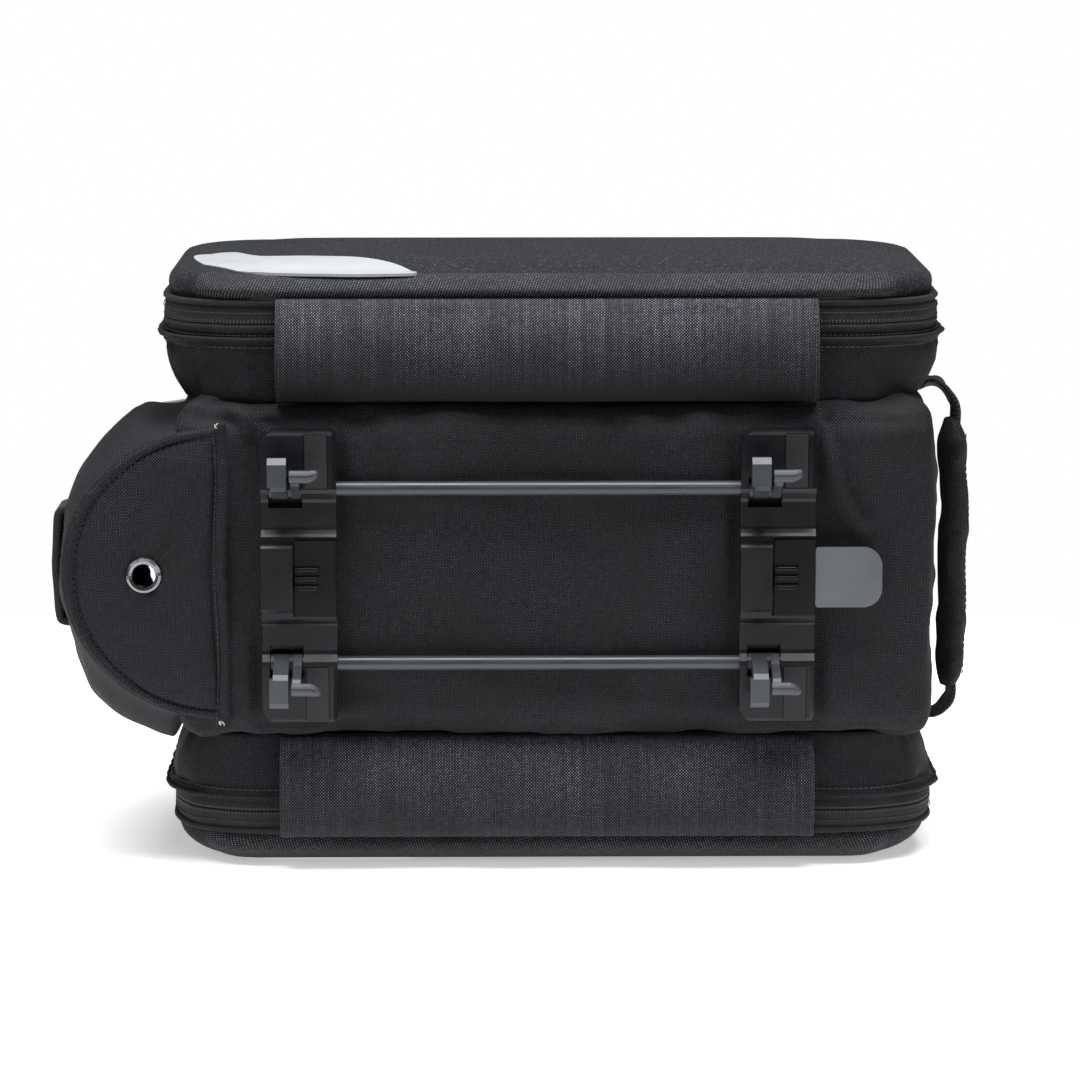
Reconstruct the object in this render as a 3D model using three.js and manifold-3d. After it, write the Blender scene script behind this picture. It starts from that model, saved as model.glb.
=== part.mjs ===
// A bicycle rack trunk bag: a padded fabric tub with a zipped lid, a zipped clamshell compartment on each
// side that stows a fold-out pannier, a bottle pocket on one end, a carry handle on the other, and a
// quick-release mount of two moulded brackets whose four hooks turn on two steel rods.
// Millimetres. The bag stands on its lower side compartment: +X runs along the bag to the handle end,
// +Y from the mount face to the lid, +Z up across the bag's width.
import * as THREE from "three";
import { mergeVertices } from "three/addons/utils/BufferGeometryUtils.js";
import Module from "manifold-3d";

const wasm = await Module();
wasm.setup();

// ---------------------------------------------------------------- driving dimensions

const GAP = 0.3; // clearance kept between pieces that touch
const LENGTH = 368; // the tub, along X
const WIDTH = 286; // over both side compartments, along Z
const TUB_HALF_WIDTH = 83; // half the tub's width
const TUB_HEIGHT = 198; // mount face to the rim, along Y
const LID_TOP = 232; // crown of the lid, along Y
const MID = WIDTH / 2; // height of the bag's middle plane
const END = LENGTH / 2; // x of each end wall's outer face
const WALL = 4; // foam-backed fabric
const BASE_THICKNESS = 5;
const BOARD_THICKNESS = 2;
const TAPE = 1.2; // zipper tape

// side compartment, measured outward from the middle plane
const COMP = {
  front: 8, // y of its face towards the mount
  back: 192,
  left: -190,
  right: 187,
  corner: 52,
  gussetTop: 111,
  parting: 119.5, // the zipper's teeth, and the fabric hinge
  shellFoot: 130.2,
  top: WIDTH / 2,
  flapLeft: -133.4,
  flapRight: 126.2,
};

// quick-release mount; heights are measured out of the mount face, towards -Y
const BRACKET = { width: 36, length: 142, lefts: [-140.6, 88.8] };
const ROD = { radius: 3.5, offset: 42.6, height: 5.8, from: -137.4, to: 121.6 };
const SLOT = { from: 3.6, to: 19.8, inner: 33.4, outer: 48.4 };
const PAD = { from: 21.2, to: 31.8, inner: 43.6, outer: 69.4, height: 12.3 };
const SLIDER = { from: 16.2, to: 35.6, half: 18.4, bottom: 9.2, top: 13 };
const TAB = { length: 32, half: 14.5, corner: 9 };

const POCKET = { seam: -160, depth: 77, half: 68.5, bulge: 2.5, wall: 3, top: 150, hemTop: 160 };
const EYELET = { x: -197.5, outer: 9, inner: 5.8 };

// ---------------------------------------------------------------- materials

const finish = (color, roughness, metalness = 0) =>
  new THREE.MeshStandardMaterial({ color, roughness, metalness });

const MATERIALS = {
  fabric: () => finish(0x1c1c20, 0.85),
  foamShell: () => finish(0x212125, 0.8),
  lining: () => finish(0x3a3b40, 0.9),
  webbing: () => finish(0x141415, 0.8),
  zip: () => finish(0x191a19, 0.75),
  zipMetal: () => finish(0x2a2b2c, 0.4, 0.9),
  reflective: () => finish(0xd8dcdf, 0.35),
  nylon: () => finish(0x26292c, 0.5),
  rubber: () => finish(0x2b2e31, 0.7),
  rod: () => finish(0x3a3f45, 0.35, 1),
  steel: () => finish(0x8c8f92, 0.3, 1),
  board: () => finish(0x101012, 0.6),
  tab: () => finish(0x6a7076, 0.45),
};

// ---------------------------------------------------------------- helpers

const extruded = (shape, depth, options = {}) =>
  new THREE.ExtrudeGeometry(shape, { depth, bevelEnabled: false, curveSegments: 5, ...options });

// An outline drawn in the (x, z) plane, extruded from y0 to y1.
function alongY(shape, y0, y1, options) {
  return extruded(shape, y1 - y0, options).rotateX(Math.PI / 2).translate(0, y1, 0);
}

// An outline drawn in the (x, y) plane, extruded from z0 to z1.
function alongZ(shape, z0, z1, options) {
  return extruded(shape, z1 - z0, options).translate(0, 0, z0);
}

// An outline drawn in the (y, z) plane, extruded from x0 to x1.
function alongX(shape, x0, x1, options) {
  const turn = new THREE.Matrix4().makeBasis(
    new THREE.Vector3(0, 1, 0),
    new THREE.Vector3(0, 0, 1),
    new THREE.Vector3(1, 0, 0),
  );
  return extruded(shape, x1 - x0, options).applyMatrix4(turn).translate(x0, 0, 0);
}

const box = (x0, x1, y0, y1, z0, z1) =>
  new THREE.BoxGeometry(x1 - x0, y1 - y0, z1 - z0).translate((x0 + x1) / 2, (y0 + y1) / 2, (z0 + z1) / 2);

const polygon = (points) => new THREE.Shape(points.map(([a, b]) => new THREE.Vector2(a, b)));

// A rectangle with round corners; radii run from the lower left one, anticlockwise.
function roundedRect(a0, a1, b0, b1, radii) {
  const [r0, r1, r2, r3] = Array.isArray(radii) ? radii : [radii, radii, radii, radii];
  const s = new THREE.Shape();
  s.moveTo(a0 + r0, b0);
  s.lineTo(a1 - r1, b0);
  s.absarc(a1 - r1, b0 + r1, r1, -Math.PI / 2, 0);
  s.lineTo(a1, b1 - r2);
  s.absarc(a1 - r2, b1 - r2, r2, 0, Math.PI / 2);
  s.lineTo(a0 + r3, b1);
  s.absarc(a0 + r3, b1 - r3, r3, Math.PI / 2, Math.PI);
  s.lineTo(a0, b0 + r0);
  s.absarc(a0 + r0, b0 + r0, r0, Math.PI, 1.5 * Math.PI);
  return s;
}

// A flat strip seen edge on: the band of the given thickness about a smooth line through the points.
function strip(points, thickness, steps = 10) {
  const curve = new THREE.SplineCurve(points.map(([a, b]) => new THREE.Vector2(a, b)));
  const side = (offset) =>
    Array.from({ length: steps + 1 }, (_, i) => {
      const p = curve.getPoint(i / steps);
      const t = curve.getTangent(i / steps);
      return new THREE.Vector2(p.x - t.y * offset, p.y + t.x * offset);
    });
  return new THREE.Shape([...side(-thickness / 2), ...side(thickness / 2).reverse()]);
}

// A closed geometry as a solid that can be joined and cut.
function solid(geometry) {
  const bare = geometry.clone();
  bare.deleteAttribute("normal");
  bare.deleteAttribute("uv");
  const merged = mergeVertices(bare, 1e-4);
  return new wasm.Manifold(
    new wasm.Mesh({
      numProp: 3,
      vertProperties: merged.attributes.position.array,
      triVerts: new Uint32Array(merged.index.array),
    }),
  );
}

function geometryOf(manifold) {
  const { numProp, vertProperties, triVerts, numVert } = manifold.getMesh();
  const positions = new Float32Array(numVert * 3);
  for (let i = 0; i < numVert; i++) {
    positions.set(vertProperties.subarray(i * numProp, i * numProp + 3), i * 3);
  }
  return new THREE.BufferGeometry()
    .setAttribute("position", new THREE.BufferAttribute(positions, 3))
    .setIndex(new THREE.BufferAttribute(triVerts, 1));
}

// The first geometry with the others cut from it.
function cut(geometry, ...tools) {
  return geometryOf(tools.reduce((left, tool) => left.subtract(solid(tool)), solid(geometry)));
}

const join = (first, ...others) =>
  geometryOf(others.reduce((sum, other) => sum.add(solid(other)), solid(first)));

const common = (a, b) => geometryOf(solid(a).intersect(solid(b)));

function mesh(name, geometry, material) {
  const m = new THREE.Mesh(geometry, MATERIALS[material]());
  m.name = name;
  return m;
}

function assembly(...children) {
  const g = new THREE.Group();
  g.add(...children);
  return g;
}

// ---------------------------------------------------------------- the tub

// The padded base, the board that stiffens it, four foam-backed walls and the rim's zipper tape.
function tub() {
  const z0 = MID - TUB_HALF_WIDTH;
  const z1 = MID + TUB_HALF_WIDTH;
  const y0 = BASE_THICKNESS + GAP;
  const wall = (x0, x1, za, zb) => box(x0, x1, y0, TUB_HEIGHT, za, zb);
  const inner = WALL + GAP;
  const boardMargin = 14;
  return assembly(
    mesh("base_panel", alongY(roundedRect(-END, END, z0, z1, 16), 0, BASE_THICKNESS), "fabric"),
    mesh(
      "base_stiffener_board",
      alongY(
        roundedRect(-END + boardMargin, END - boardMargin, z0 + boardMargin, z1 - boardMargin, 8),
        y0,
        y0 + BOARD_THICKNESS,
      ),
      "board",
    ),
    mesh("upper_side_wall", wall(-END, END, z1 - WALL, z1), "fabric"),
    mesh("lower_side_wall", wall(-END, END, z0, z0 + WALL), "fabric"),
    mesh("pocket_end_wall", wall(-END, -END + WALL, z0 + inner, z1 - inner), "fabric"),
    mesh("handle_end_wall", wall(END - WALL, END, z0 + inner, z1 - inner), "fabric"),
    mesh("lid_zipper_tape_on_tub", lidTape(TUB_HEIGHT + GAP, 203.7), "zip"),
  );
}

// A zipper tape round the rim on three sides, open at the hinge end.
function lidTape(y0, y1) {
  const z0 = MID - TUB_HALF_WIDTH;
  const z1 = MID + TUB_HALF_WIDTH;
  const corner = 8;
  const ring = roundedRect(-END, END + 20, z0, z1, corner);
  ring.holes.push(roundedRect(-END + TAPE, END + 10, z0 + TAPE, z1 - TAPE, corner - TAPE));
  const hingeEnd = box(END - 14, END + 30, y0 - 1, y1 + 1, z0 - 1, z1 + 1);
  return cut(alongY(ring, y0, y1), hingeEnd);
}

// ---------------------------------------------------------------- the lid

const LID_HINGE = { x: END + 2.4, y: 204, flapHalf: 66 };

// A moulded foam lid, its lining, its half of the zipper tape and the fabric hinge at the handle end.
function lid() {
  const z0 = MID - TUB_HALF_WIDTH;
  const z1 = MID + TUB_HALF_WIDTH;
  const foot = 208.3;
  const bevel = 10;
  const dome = (inset, y0, y1, b) => {
    const shape = roundedRect(-END + inset + b, END - inset - b, z0 + inset + b, z1 - inset - b, 12);
    const body = alongY(shape, y0, y1 - b, {
      bevelEnabled: true,
      bevelThickness: b,
      bevelSize: b,
      bevelSegments: 3,
    });
    return common(body, box(-300, 300, y0, 300, -50, 400));
  };
  const shell = cut(dome(0, foot, LID_TOP, bevel), dome(WALL, foot - 1, LID_TOP - WALL, bevel - 2));
  const lining = roundedRect(-END + 18, END - 18, z0 + 18, z1 - 18, 10);
  const flap = alongY(
    roundedRect(END + GAP, END + 2.1, MID - LID_HINGE.flapHalf, MID + LID_HINGE.flapHalf, 0.6),
    190,
    LID_HINGE.y - GAP,
  );
  return assembly(
    mesh("lid_shell", shell, "foamShell"),
    mesh("lid_mesh_lining", alongY(lining, LID_TOP - WALL - 1.7, LID_TOP - WALL - GAP), "lining"),
    mesh("lid_zipper_tape_on_lid", lidTape(204.3, foot - GAP), "zip"),
    mesh("lid_hinge_flap", flap, "fabric"),
  );
}

// ---------------------------------------------------------------- zipper sliders and pulls

// A slider that runs along Z at the origin, its teeth at x = 0 and its outside towards -X.
function zipSlider(name) {
  const body = alongX(roundedRect(-4, 4, -6, 6, 2.5), -3.6, -GAP);
  const bail = alongX(roundedRect(-1.6, 1.6, 1, 5, 1), -5.8, -3);
  return mesh(name, join(body, bail), "zipMetal");
}

// A pull hanging from a slider at the origin: a flat tag.
function zipPull(name, length) {
  return mesh(name, alongX(roundedRect(-3, 3, -length, 0, [2.4, 2.4, 1, 1]), -5.6, -4.4), "zipMetal");
}

function lidSliders() {
  const y = LID_HINGE.y;
  const x = -END;
  return ["upper", "lower"].map((side, i) => {
    const z = MID + (i === 0 ? 17 : -14);
    const slider = zipSlider("lid_zipper_slider_" + side);
    const pull = zipPull("lid_zipper_pull_" + side, 20);
    slider.position.set(x, y, z);
    pull.position.set(x, y, z + 0.6);
    return assembly(slider, pull);
  });
}

// ---------------------------------------------------------------- a side compartment

// The compartment's outline in plan, moved in by inset.
function compartmentOutline(inset) {
  const { left, right, front, back, corner } = COMP;
  return roundedRect(left + inset, right - inset, front + inset, back - inset, corner - inset);
}

function ringAlongZ(inset, thickness, t0, t1) {
  const shape = compartmentOutline(inset);
  shape.holes.push(compartmentOutline(inset + thickness));
  return alongZ(shape, t0, t1);
}

// The bag's side of the zipper leaves off where the hinge flap takes its place.
function compartmentTape(t0, t1) {
  const { flapLeft, flapRight, front, corner } = COMP;
  const flapSpan = box(flapLeft, flapRight, front - 2, front + corner, t0 - 1, t1 + 1);
  return cut(ringAlongZ(0, TAPE, t0, t1), flapSpan);
}

// The moulded foam shell: a shallow tray with a rounded rim, its hollow towards the bag.
function compartmentShell() {
  const bevel = 9;
  const tray = (inset, t0, t1, b) => {
    const body = alongZ(compartmentOutline(inset + b), t0, t1 - b, {
      bevelEnabled: true,
      bevelThickness: b,
      bevelSize: b,
      bevelSegments: 3,
      curveSegments: 6,
    });
    return common(body, box(-300, 300, -100, 300, t0, 300));
  };
  const { shellFoot, top } = COMP;
  return cut(tray(0, shellFoot, top, bevel), tray(WALL, shellFoot - 1, top - WALL, bevel - 2));
}

// Built outward from the middle plane; its group mirrors it for the lower side.
function sideCompartment(side) {
  const { flapLeft, flapRight, front, gussetTop, parting, shellFoot } = COMP;
  const wall = TUB_HALF_WIDTH + GAP;
  const flap = box(flapLeft, flapRight, front - 3.6, front - 1.6, wall + 1, parting - GAP);
  const stowed = roundedRect(-150, 150, front + 18, COMP.back - 18, 30);
  const group = assembly(
    mesh(side + "_gusset", ringAlongZ(0, 2.4, wall, gussetTop), "fabric"),
    mesh(side + "_zipper_tape_on_gusset", compartmentTape(gussetTop + GAP, parting - GAP), "zip"),
    mesh(side + "_zipper_tape_on_shell", ringAlongZ(0, TAPE, parting + GAP, shellFoot - GAP), "zip"),
    mesh(side + "_hinge_flap", flap, "fabric"),
    mesh(side + "_stowed_pannier", alongZ(stowed, wall, wall + 22), "fabric"),
    mesh(side + "_shell", compartmentShell(), "foamShell"),
  );
  group.position.z = MID;
  group.scale.z = side === "upper" ? 1 : -1;
  return group;
}

// The slider parks halfway along the handle end, its pull hanging.
function compartmentZipper(side, sign) {
  const x = COMP.right;
  const y = (COMP.front + COMP.back) / 2;
  const z = MID + sign * COMP.parting;
  const slider = zipSlider(side + "_zipper_slider");
  const pull = zipPull(side + "_zipper_pull", 15);
  slider.rotation.z = Math.PI; // its outside towards +X
  slider.rotation.x = Math.PI / 2; // and its run along Y
  pull.rotation.z = Math.PI;
  slider.position.set(x, y, z);
  pull.position.set(x, y, z - 2.2);
  return assembly(slider, pull);
}

// ---------------------------------------------------------------- the bottle pocket

// A half-ellipse band about the pocket's seam line, cut off at the end wall.
function pocketBand(outset, thickness) {
  const a = POCKET.depth + outset;
  const b = POCKET.half + outset;
  const angle = (radius) => Math.acos((-END - GAP - POCKET.seam) / radius);
  const outer = angle(a);
  const inner = angle(a - thickness);
  const s = new THREE.Shape();
  s.moveTo(-END - GAP, MID + b * Math.sin(outer));
  s.absellipse(POCKET.seam, MID, a, b, outer, 2 * Math.PI - outer, false);
  s.lineTo(-END - GAP, MID - (b - thickness) * Math.sin(inner));
  s.absellipse(POCKET.seam, MID, a - thickness, b - thickness, 2 * Math.PI - inner, inner, true);
  return s;
}

function pocket() {
  const floor = new THREE.Shape();
  floor.moveTo(POCKET.seam, MID + POCKET.half);
  floor.absellipse(POCKET.seam, MID, POCKET.depth, POCKET.half, Math.PI / 2, 1.5 * Math.PI, false);
  floor.closePath();
  const drain = new THREE.Path();
  drain.absarc(EYELET.x, MID, EYELET.inner + 1.4, 0, 2 * Math.PI, true);
  floor.holes.push(drain);
  const options = { curveSegments: 14 };
  const { bulge, wall, top, hemTop } = POCKET;
  const hemBand = pocketBand(bulge + 1, wall + 1);
  const loop = strip(
    [
      [-POCKET.half * 0.4, -4.6],
      [-POCKET.half * 0.34, -7.2],
      [0, -10],
      [POCKET.half * 0.34, -7.2],
      [POCKET.half * 0.4, -4.6],
    ].map(([z, x]) => [POCKET.seam - POCKET.depth + x + 1.6, MID + z]),
    1.8,
    12,
  );
  return assembly(
    mesh("pocket_bottom", alongY(floor, -2.6, -GAP, options), "fabric"),
    mesh("pocket_wall", alongY(pocketBand(bulge, wall), 0, top, options), "fabric"),
    mesh("pocket_elastic_hem", alongY(hemBand, top + GAP, hemTop, options), "webbing"),
    mesh("pocket_reflective_piping", alongY(pocketBand(bulge + 2, 1.7), 128, 131.5, options), "reflective"),
    mesh("pocket_light_loop", alongY(loop, 22, 47), "webbing"),
    eyelet(),
  );
}

// The drain eyelet: a rolled metal ring clenched through the pocket's bottom.
function eyelet() {
  const { x, outer, inner } = EYELET;
  const profile = [
    [inner, -4.2],
    [inner + 1.4, -4.6],
    [outer - 0.6, -3.8],
    [outer, -2.9],
    [inner + 1.1, -2.9],
    [inner + 1.1, 0],
    [outer - 1, 0],
    [outer - 1, 0.8],
    [inner, 0.8],
    [inner, -4.2],
  ].map(([r, y]) => new THREE.Vector2(r, y));
  const g = new THREE.LatheGeometry(profile, 28).translate(x, 0, MID);
  return mesh("drain_eyelet", g, "steel");
}

// ---------------------------------------------------------------- the carry handle

const HANDLE = {
  anchor: { x: END + 0.9, y: 92 },
  reach: 36,
  lean: 11, // degrees that it stands off the wall
  bottom: 74,
  top: 212,
  thick: 12,
  wide: 27,
  webbing: 14,
};

// A padded sleeve on a loop of webbing whose two ends are sewn to the end wall. It is drawn about the line
// through its two ends, where it swings.
function handle() {
  const { anchor, reach, lean, bottom, top, thick, wide, webbing } = HANDLE;
  const strap = 0.6; // half the webbing's thickness
  const grip = new THREE.CapsuleGeometry(wide / 2, top - bottom - wide, 4, 14)
    .rotateX(Math.PI / 2)
    .scale(thick / wide, 1, 1)
    .translate(strap + GAP + thick / 2, -reach, (top + bottom) / 2);
  const near = -reach - webbing / 2;
  const far = -reach + webbing / 2;
  const loop = polygon([
    [0, bottom - webbing + 1],
    [-reach + 4, bottom - webbing + 1],
    [near, bottom + 4],
    [near, top - 4],
    [-reach + 4, top + webbing - 1],
    [0, top + webbing - 1],
    [0, top - 1],
    [-reach + 10, top - 1],
    [far, top - 8],
    [far, bottom + 8],
    [-reach + 10, bottom + 1],
    [0, bottom + 1],
  ]);
  const group = assembly(
    mesh("handle_grip", grip, "fabric"),
    mesh("handle_webbing", alongX(loop, -strap, strap), "webbing"),
  );
  group.position.set(anchor.x, anchor.y, 0);
  group.rotation.z = THREE.MathUtils.degToRad(lean);
  return group;
}

// ---------------------------------------------------------------- the quick-release mount

// Section of a bracket, as (height out of the mount face, distance from its middle).
function bracketSection() {
  const half = [
    [14.6, 0],
    [14.6, 15],
    [13.6, 16.2],
    [11.2, 17],
    [11, 20],
    [10, 21.2],
    [7.8, 23],
    [7.4, 24],
    [7.4, 36],
    [8.2, 37.8],
    [10.8, 41],
    [11.8, 43],
    [11.8, 69],
    [11, 70.4],
    [9.4, 71],
    [GAP, 71],
  ];
  const mirrored = half.slice(1).reverse().map(([h, d]) => [h, -d]);
  return polygon([...mirrored, ...half].map(([h, d]) => [-h, MID + d]));
}

const HOOKS = [
  { side: "upper", sign: 1 },
  { side: "lower", sign: -1 },
];

// A box in a bracket: x from its left edge, distances d from its middle, heights h.
function inBracket(left, x0, x1, d0, d1, h0, h1, sign = 1) {
  const [z0, z1] = sign > 0 ? [MID + d0, MID + d1] : [MID - d1, MID - d0];
  return box(left + x0, left + x1, -h1, -h0, z0, z1);
}

function bracket(name, left) {
  const end = BRACKET.length / 2;
  const outline = roundedRect(left, left + BRACKET.width, MID - end, MID + end, [8, 4, 4, 8]);
  const body = common(alongX(bracketSection(), left, left + BRACKET.width), alongY(outline, -30, 5));
  const tools = HOOKS.flatMap(({ sign }) => [
    inBracket(left, SLOT.from, SLOT.to, SLOT.inner, SLOT.outer, 0.9, 20, sign),
    inBracket(left, PAD.from - GAP, PAD.to + GAP, PAD.inner - GAP, PAD.outer + GAP, 10.2, 20, sign),
    rodBore(sign),
    edgeBevel(left, sign),
  ]);
  const half = SLIDER.half + GAP;
  const channel = inBracket(left, SLIDER.from - 1, 40, -half, half, SLIDER.bottom - GAP, 20);
  const springWell = inBracket(left, SLIDER.from - 1, SLIDER.to - 3, -5.5, 5.5, 1.4, 12);
  return mesh(name, cut(body, ...tools, channel, springWell), "nylon");
}

// A bevel along the end plate's edge on the handle side.
function edgeBevel(left, sign) {
  const [x0, x1] = [left + 33.2, left + 37];
  const section = polygon([[x0, -13], [x1, -13], [x1, -8.2]]);
  const from = sign > 0 ? MID + 43.4 : MID - 80;
  return alongZ(section, from, from + 36.6);
}

function rodBore(sign) {
  const from = ROD.from - GAP;
  const to = ROD.to + GAP;
  return new THREE.CylinderGeometry(ROD.radius + 0.35, ROD.radius + 0.35, to - from, 20)
    .rotateZ(Math.PI / 2)
    .translate((from + to) / 2, -ROD.height, MID + sign * ROD.offset);
}

function rod(name, sign) {
  const length = ROD.to - ROD.from;
  const g = new THREE.CylinderGeometry(ROD.radius, ROD.radius, length, 20)
    .rotateZ(Math.PI / 2)
    .translate((ROD.from + ROD.to) / 2, -ROD.height, MID + sign * ROD.offset);
  return mesh(name, g, "rod");
}

// A hook: a collar on the rod that carries a claw with a block head and, beside it, a narrow arm with a peg.
function hook(name, left, sign) {
  const place = ([h, w]) => [-h, MID + sign * (ROD.offset + w)];
  const outline = (points) => polygon((sign > 0 ? points : [...points].reverse()).map(place));
  const claw = outline([
    [3.6, -3.8],
    [3.6, 3.2],
    [5.8, 4.5],
    [18, 5.6],
    [22.6, 9],
    [27.4, 9],
    [28.4, 4.4],
    [25.6, 1.6],
    [15, -2],
    [8, -4.6],
  ]);
  const head = outline([
    [22.8, 5],
    [22.8, 16.6],
    [24.2, 17.8],
    [26.4, 17.8],
    [29.2, 15],
    [29.2, 4.2],
    [26, 3.4],
  ]);
  const arm = outline([
    [3.6, -3.8],
    [3.6, 3.2],
    [5.8, 4.5],
    [18, 5.2],
    [23, 8.4],
    [27, 11],
    [28.6, 8],
    [25, 4],
    [14, -0.6],
    [8, -4.6],
  ]);
  const collar = new THREE.CylinderGeometry(4.6, 4.6, 15.2, 16)
    .rotateZ(Math.PI / 2)
    .translate(left + 11.7, -ROD.height, MID + sign * ROD.offset);
  const bore = new THREE.CylinderGeometry(ROD.radius + GAP, ROD.radius + GAP, 30, 16)
    .rotateZ(Math.PI / 2)
    .translate(left + 11.7, -ROD.height, MID + sign * ROD.offset);
  const whole = join(
    alongX(claw, left + 5.8, left + 13),
    alongX(head, left + 4.2, left + 13.2),
    alongX(arm, left + 15, left + 19),
    collar,
    peg(left, sign),
  );
  return mesh(name, cut(whole, bore), "nylon");
}

// The peg lies along the rod; its bullet nose leans away from the bag's middle.
function peg(left, sign) {
  const straight = 9;
  const profile = [
    [0, 0],
    [3.2, 0],
    [3.2, straight],
    [2.9, straight + 2],
    [2.2, straight + 3.8],
    [1.2, straight + 4.8],
    [0, straight + 5.2],
  ].map(([r, y]) => new THREE.Vector2(r, y));
  const g = new THREE.LatheGeometry(profile, 16);
  const p = g.attributes.position;
  for (let i = 0; i < p.count; i++) {
    p.setZ(i, p.getZ(i) + sign * 0.26 * Math.max(0, p.getY(i) - straight));
  }
  return g.rotateZ(-Math.PI / 2).translate(left + 14.6, -26, MID + sign * (ROD.offset + 8.8));
}

function pad(name, left, sign) {
  const { from, to, inner, outer, height } = PAD;
  return mesh(name, inBracket(left, from, to, inner, outer, 10.5, height, sign), "rubber");
}

// The release slider: a plate in the bracket's channel with three grip ribs and a lug for the spring.
function slider(name, left, lug) {
  const plate = inBracket(left, SLIDER.from, SLIDER.to, -SLIDER.half, SLIDER.half, SLIDER.bottom, SLIDER.top);
  const ribs = [-3.9, 0.4, 4.7].map((d) =>
    inBracket(left, SLIDER.from, SLIDER.from + 11.6, d - 0.85, d + 0.85, 12, 14.4),
  );
  const foot = inBracket(left, SLIDER.from + 0.4, SLIDER.from + 3, -4.6, 4.6, 2.2, 9.6);
  return mesh(name, join(plate, ...ribs, ...(lug ? [foot] : [])), "nylon");
}

// The pull tab is clinched to the slider's end and sticks out past the bracket.
function pullTab(left) {
  const { length, half, corner } = TAB;
  const x0 = left + SLIDER.to + GAP;
  const shape = roundedRect(x0, x0 + length, MID - half, MID + half, [1.5, corner, corner, 1.5]);
  return mesh("pull_tab", alongY(shape, -SLIDER.top + 0.4, -SLIDER.bottom - 0.8), "tab");
}

// The return spring, a wire helix in the well under the release slider.
function returnSpring(left) {
  const from = left + SLIDER.from + 3.4;
  const to = left + SLIDER.to - 3.4;
  const turns = 5;
  const radius = 2.6;
  class Helix extends THREE.Curve {
    getPoint(u, target = new THREE.Vector3()) {
      const a = 2 * Math.PI * turns * u;
      return target.set(from + (to - from) * u, -5.2 + radius * Math.cos(a), MID + radius * Math.sin(a));
    }
  }
  const wire = new THREE.Shape().absarc(0, 0, 0.45, 0, 2 * Math.PI, false);
  const g = new THREE.ExtrudeGeometry(wire, { extrudePath: new Helix(), steps: 60, curveSegments: 3 });
  return mesh("release_return_spring", g, "steel");
}

// A pan-head screw from inside the bag through board and base into a bracket.
function bracketScrew(name, x, sign) {
  const profile = [
    [0, 10.9],
    [3.2, 10.6],
    [4, 9.4],
    [4, 7.9],
    [0, 7.9],
  ].map(([r, y]) => new THREE.Vector2(r, y)).reverse();
  const g = new THREE.LatheGeometry(profile, 14).translate(x, 0, MID + sign * 57);
  return mesh(name, g, "steel");
}

function mount() {
  const group = assembly(rod("upper_hook_rod", 1), rod("lower_hook_rod", -1));
  ["left", "right"].forEach((end, i) => {
    const left = BRACKET.lefts[i];
    group.add(bracket(end + "_bracket", left), slider(end + "_release_slider", left, end === "right"));
    HOOKS.forEach(({ side, sign }) => {
      const at = end + "_" + side;
      group.add(hook(at + "_hook", left, sign), pad(at + "_grip_pad", left, sign));
      group.add(bracketScrew(at + "_screw", left + 12, sign));
    });
  });
  group.add(pullTab(BRACKET.lefts[1]), returnSpring(BRACKET.lefts[1]));
  return group;
}

// ---------------------------------------------------------------- the whole bag

// The bag's own frame has its mount face at y = 0; the origin is moved under the middle of its box.
const bag = assembly(
  tub(),
  lid(),
  ...lidSliders(),
  sideCompartment("upper"),
  sideCompartment("lower"),
  compartmentZipper("upper", 1),
  compartmentZipper("lower", -1),
  pocket(),
  handle(),
  mount(),
);

const bounds = new THREE.Box3().setFromObject(bag);
const root = new THREE.Group();
root.add(bag);
bag.position.set(-(bounds.min.x + bounds.max.x) / 2, -(bounds.min.y + bounds.max.y) / 2, -bounds.min.z);

export default root;
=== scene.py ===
"""The looks of a bicycle rack trunk bag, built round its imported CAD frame.

Sizes in this file are in millimetres in the bag's own axes: x runs along the bag from the middle of its
mount face towards the carry handle, y runs from the mount face into the bag, and "out" is measured from
the bag's middle plane towards its upper or lower side compartment.
"""

import math

import bmesh
import bpy
import numpy as np
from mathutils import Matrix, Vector
from mathutils.geometry import delaunay_2d_cdt


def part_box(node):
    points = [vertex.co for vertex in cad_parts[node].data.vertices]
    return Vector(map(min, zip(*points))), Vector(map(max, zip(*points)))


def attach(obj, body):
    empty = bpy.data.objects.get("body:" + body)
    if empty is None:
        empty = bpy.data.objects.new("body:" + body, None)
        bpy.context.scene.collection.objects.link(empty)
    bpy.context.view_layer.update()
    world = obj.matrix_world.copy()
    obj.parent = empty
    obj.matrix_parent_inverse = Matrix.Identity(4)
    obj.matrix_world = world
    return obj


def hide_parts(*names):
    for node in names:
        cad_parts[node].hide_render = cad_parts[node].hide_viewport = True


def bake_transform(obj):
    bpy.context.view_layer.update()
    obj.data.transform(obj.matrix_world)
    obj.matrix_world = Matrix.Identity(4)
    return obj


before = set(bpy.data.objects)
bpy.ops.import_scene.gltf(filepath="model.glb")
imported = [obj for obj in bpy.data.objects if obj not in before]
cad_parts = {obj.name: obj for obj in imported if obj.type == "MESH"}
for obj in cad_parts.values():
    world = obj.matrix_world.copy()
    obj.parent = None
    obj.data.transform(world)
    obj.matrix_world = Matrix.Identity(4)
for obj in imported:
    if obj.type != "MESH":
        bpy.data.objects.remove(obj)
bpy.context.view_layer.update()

# ------------------------------------------------------------------ places, from the frame

MM = 0.001
PANEL_LOW, PANEL_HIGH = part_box("base_panel")
ORIGIN = np.array([(PANEL_LOW.x + PANEL_HIGH.x) / 2, PANEL_LOW.y, (PANEL_LOW.z + PANEL_HIGH.z) / 2])


def bag_box(node):
    """A CAD node's lowest and highest corner in millimetres in the bag's axes: x, y, out (signed)."""
    low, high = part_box(node)
    return (np.array(low) - ORIGIN) / MM, (np.array(high) - ORIGIN) / MM


def to_frame(points):
    return np.asarray(points, float) * MM + ORIGIN


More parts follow.
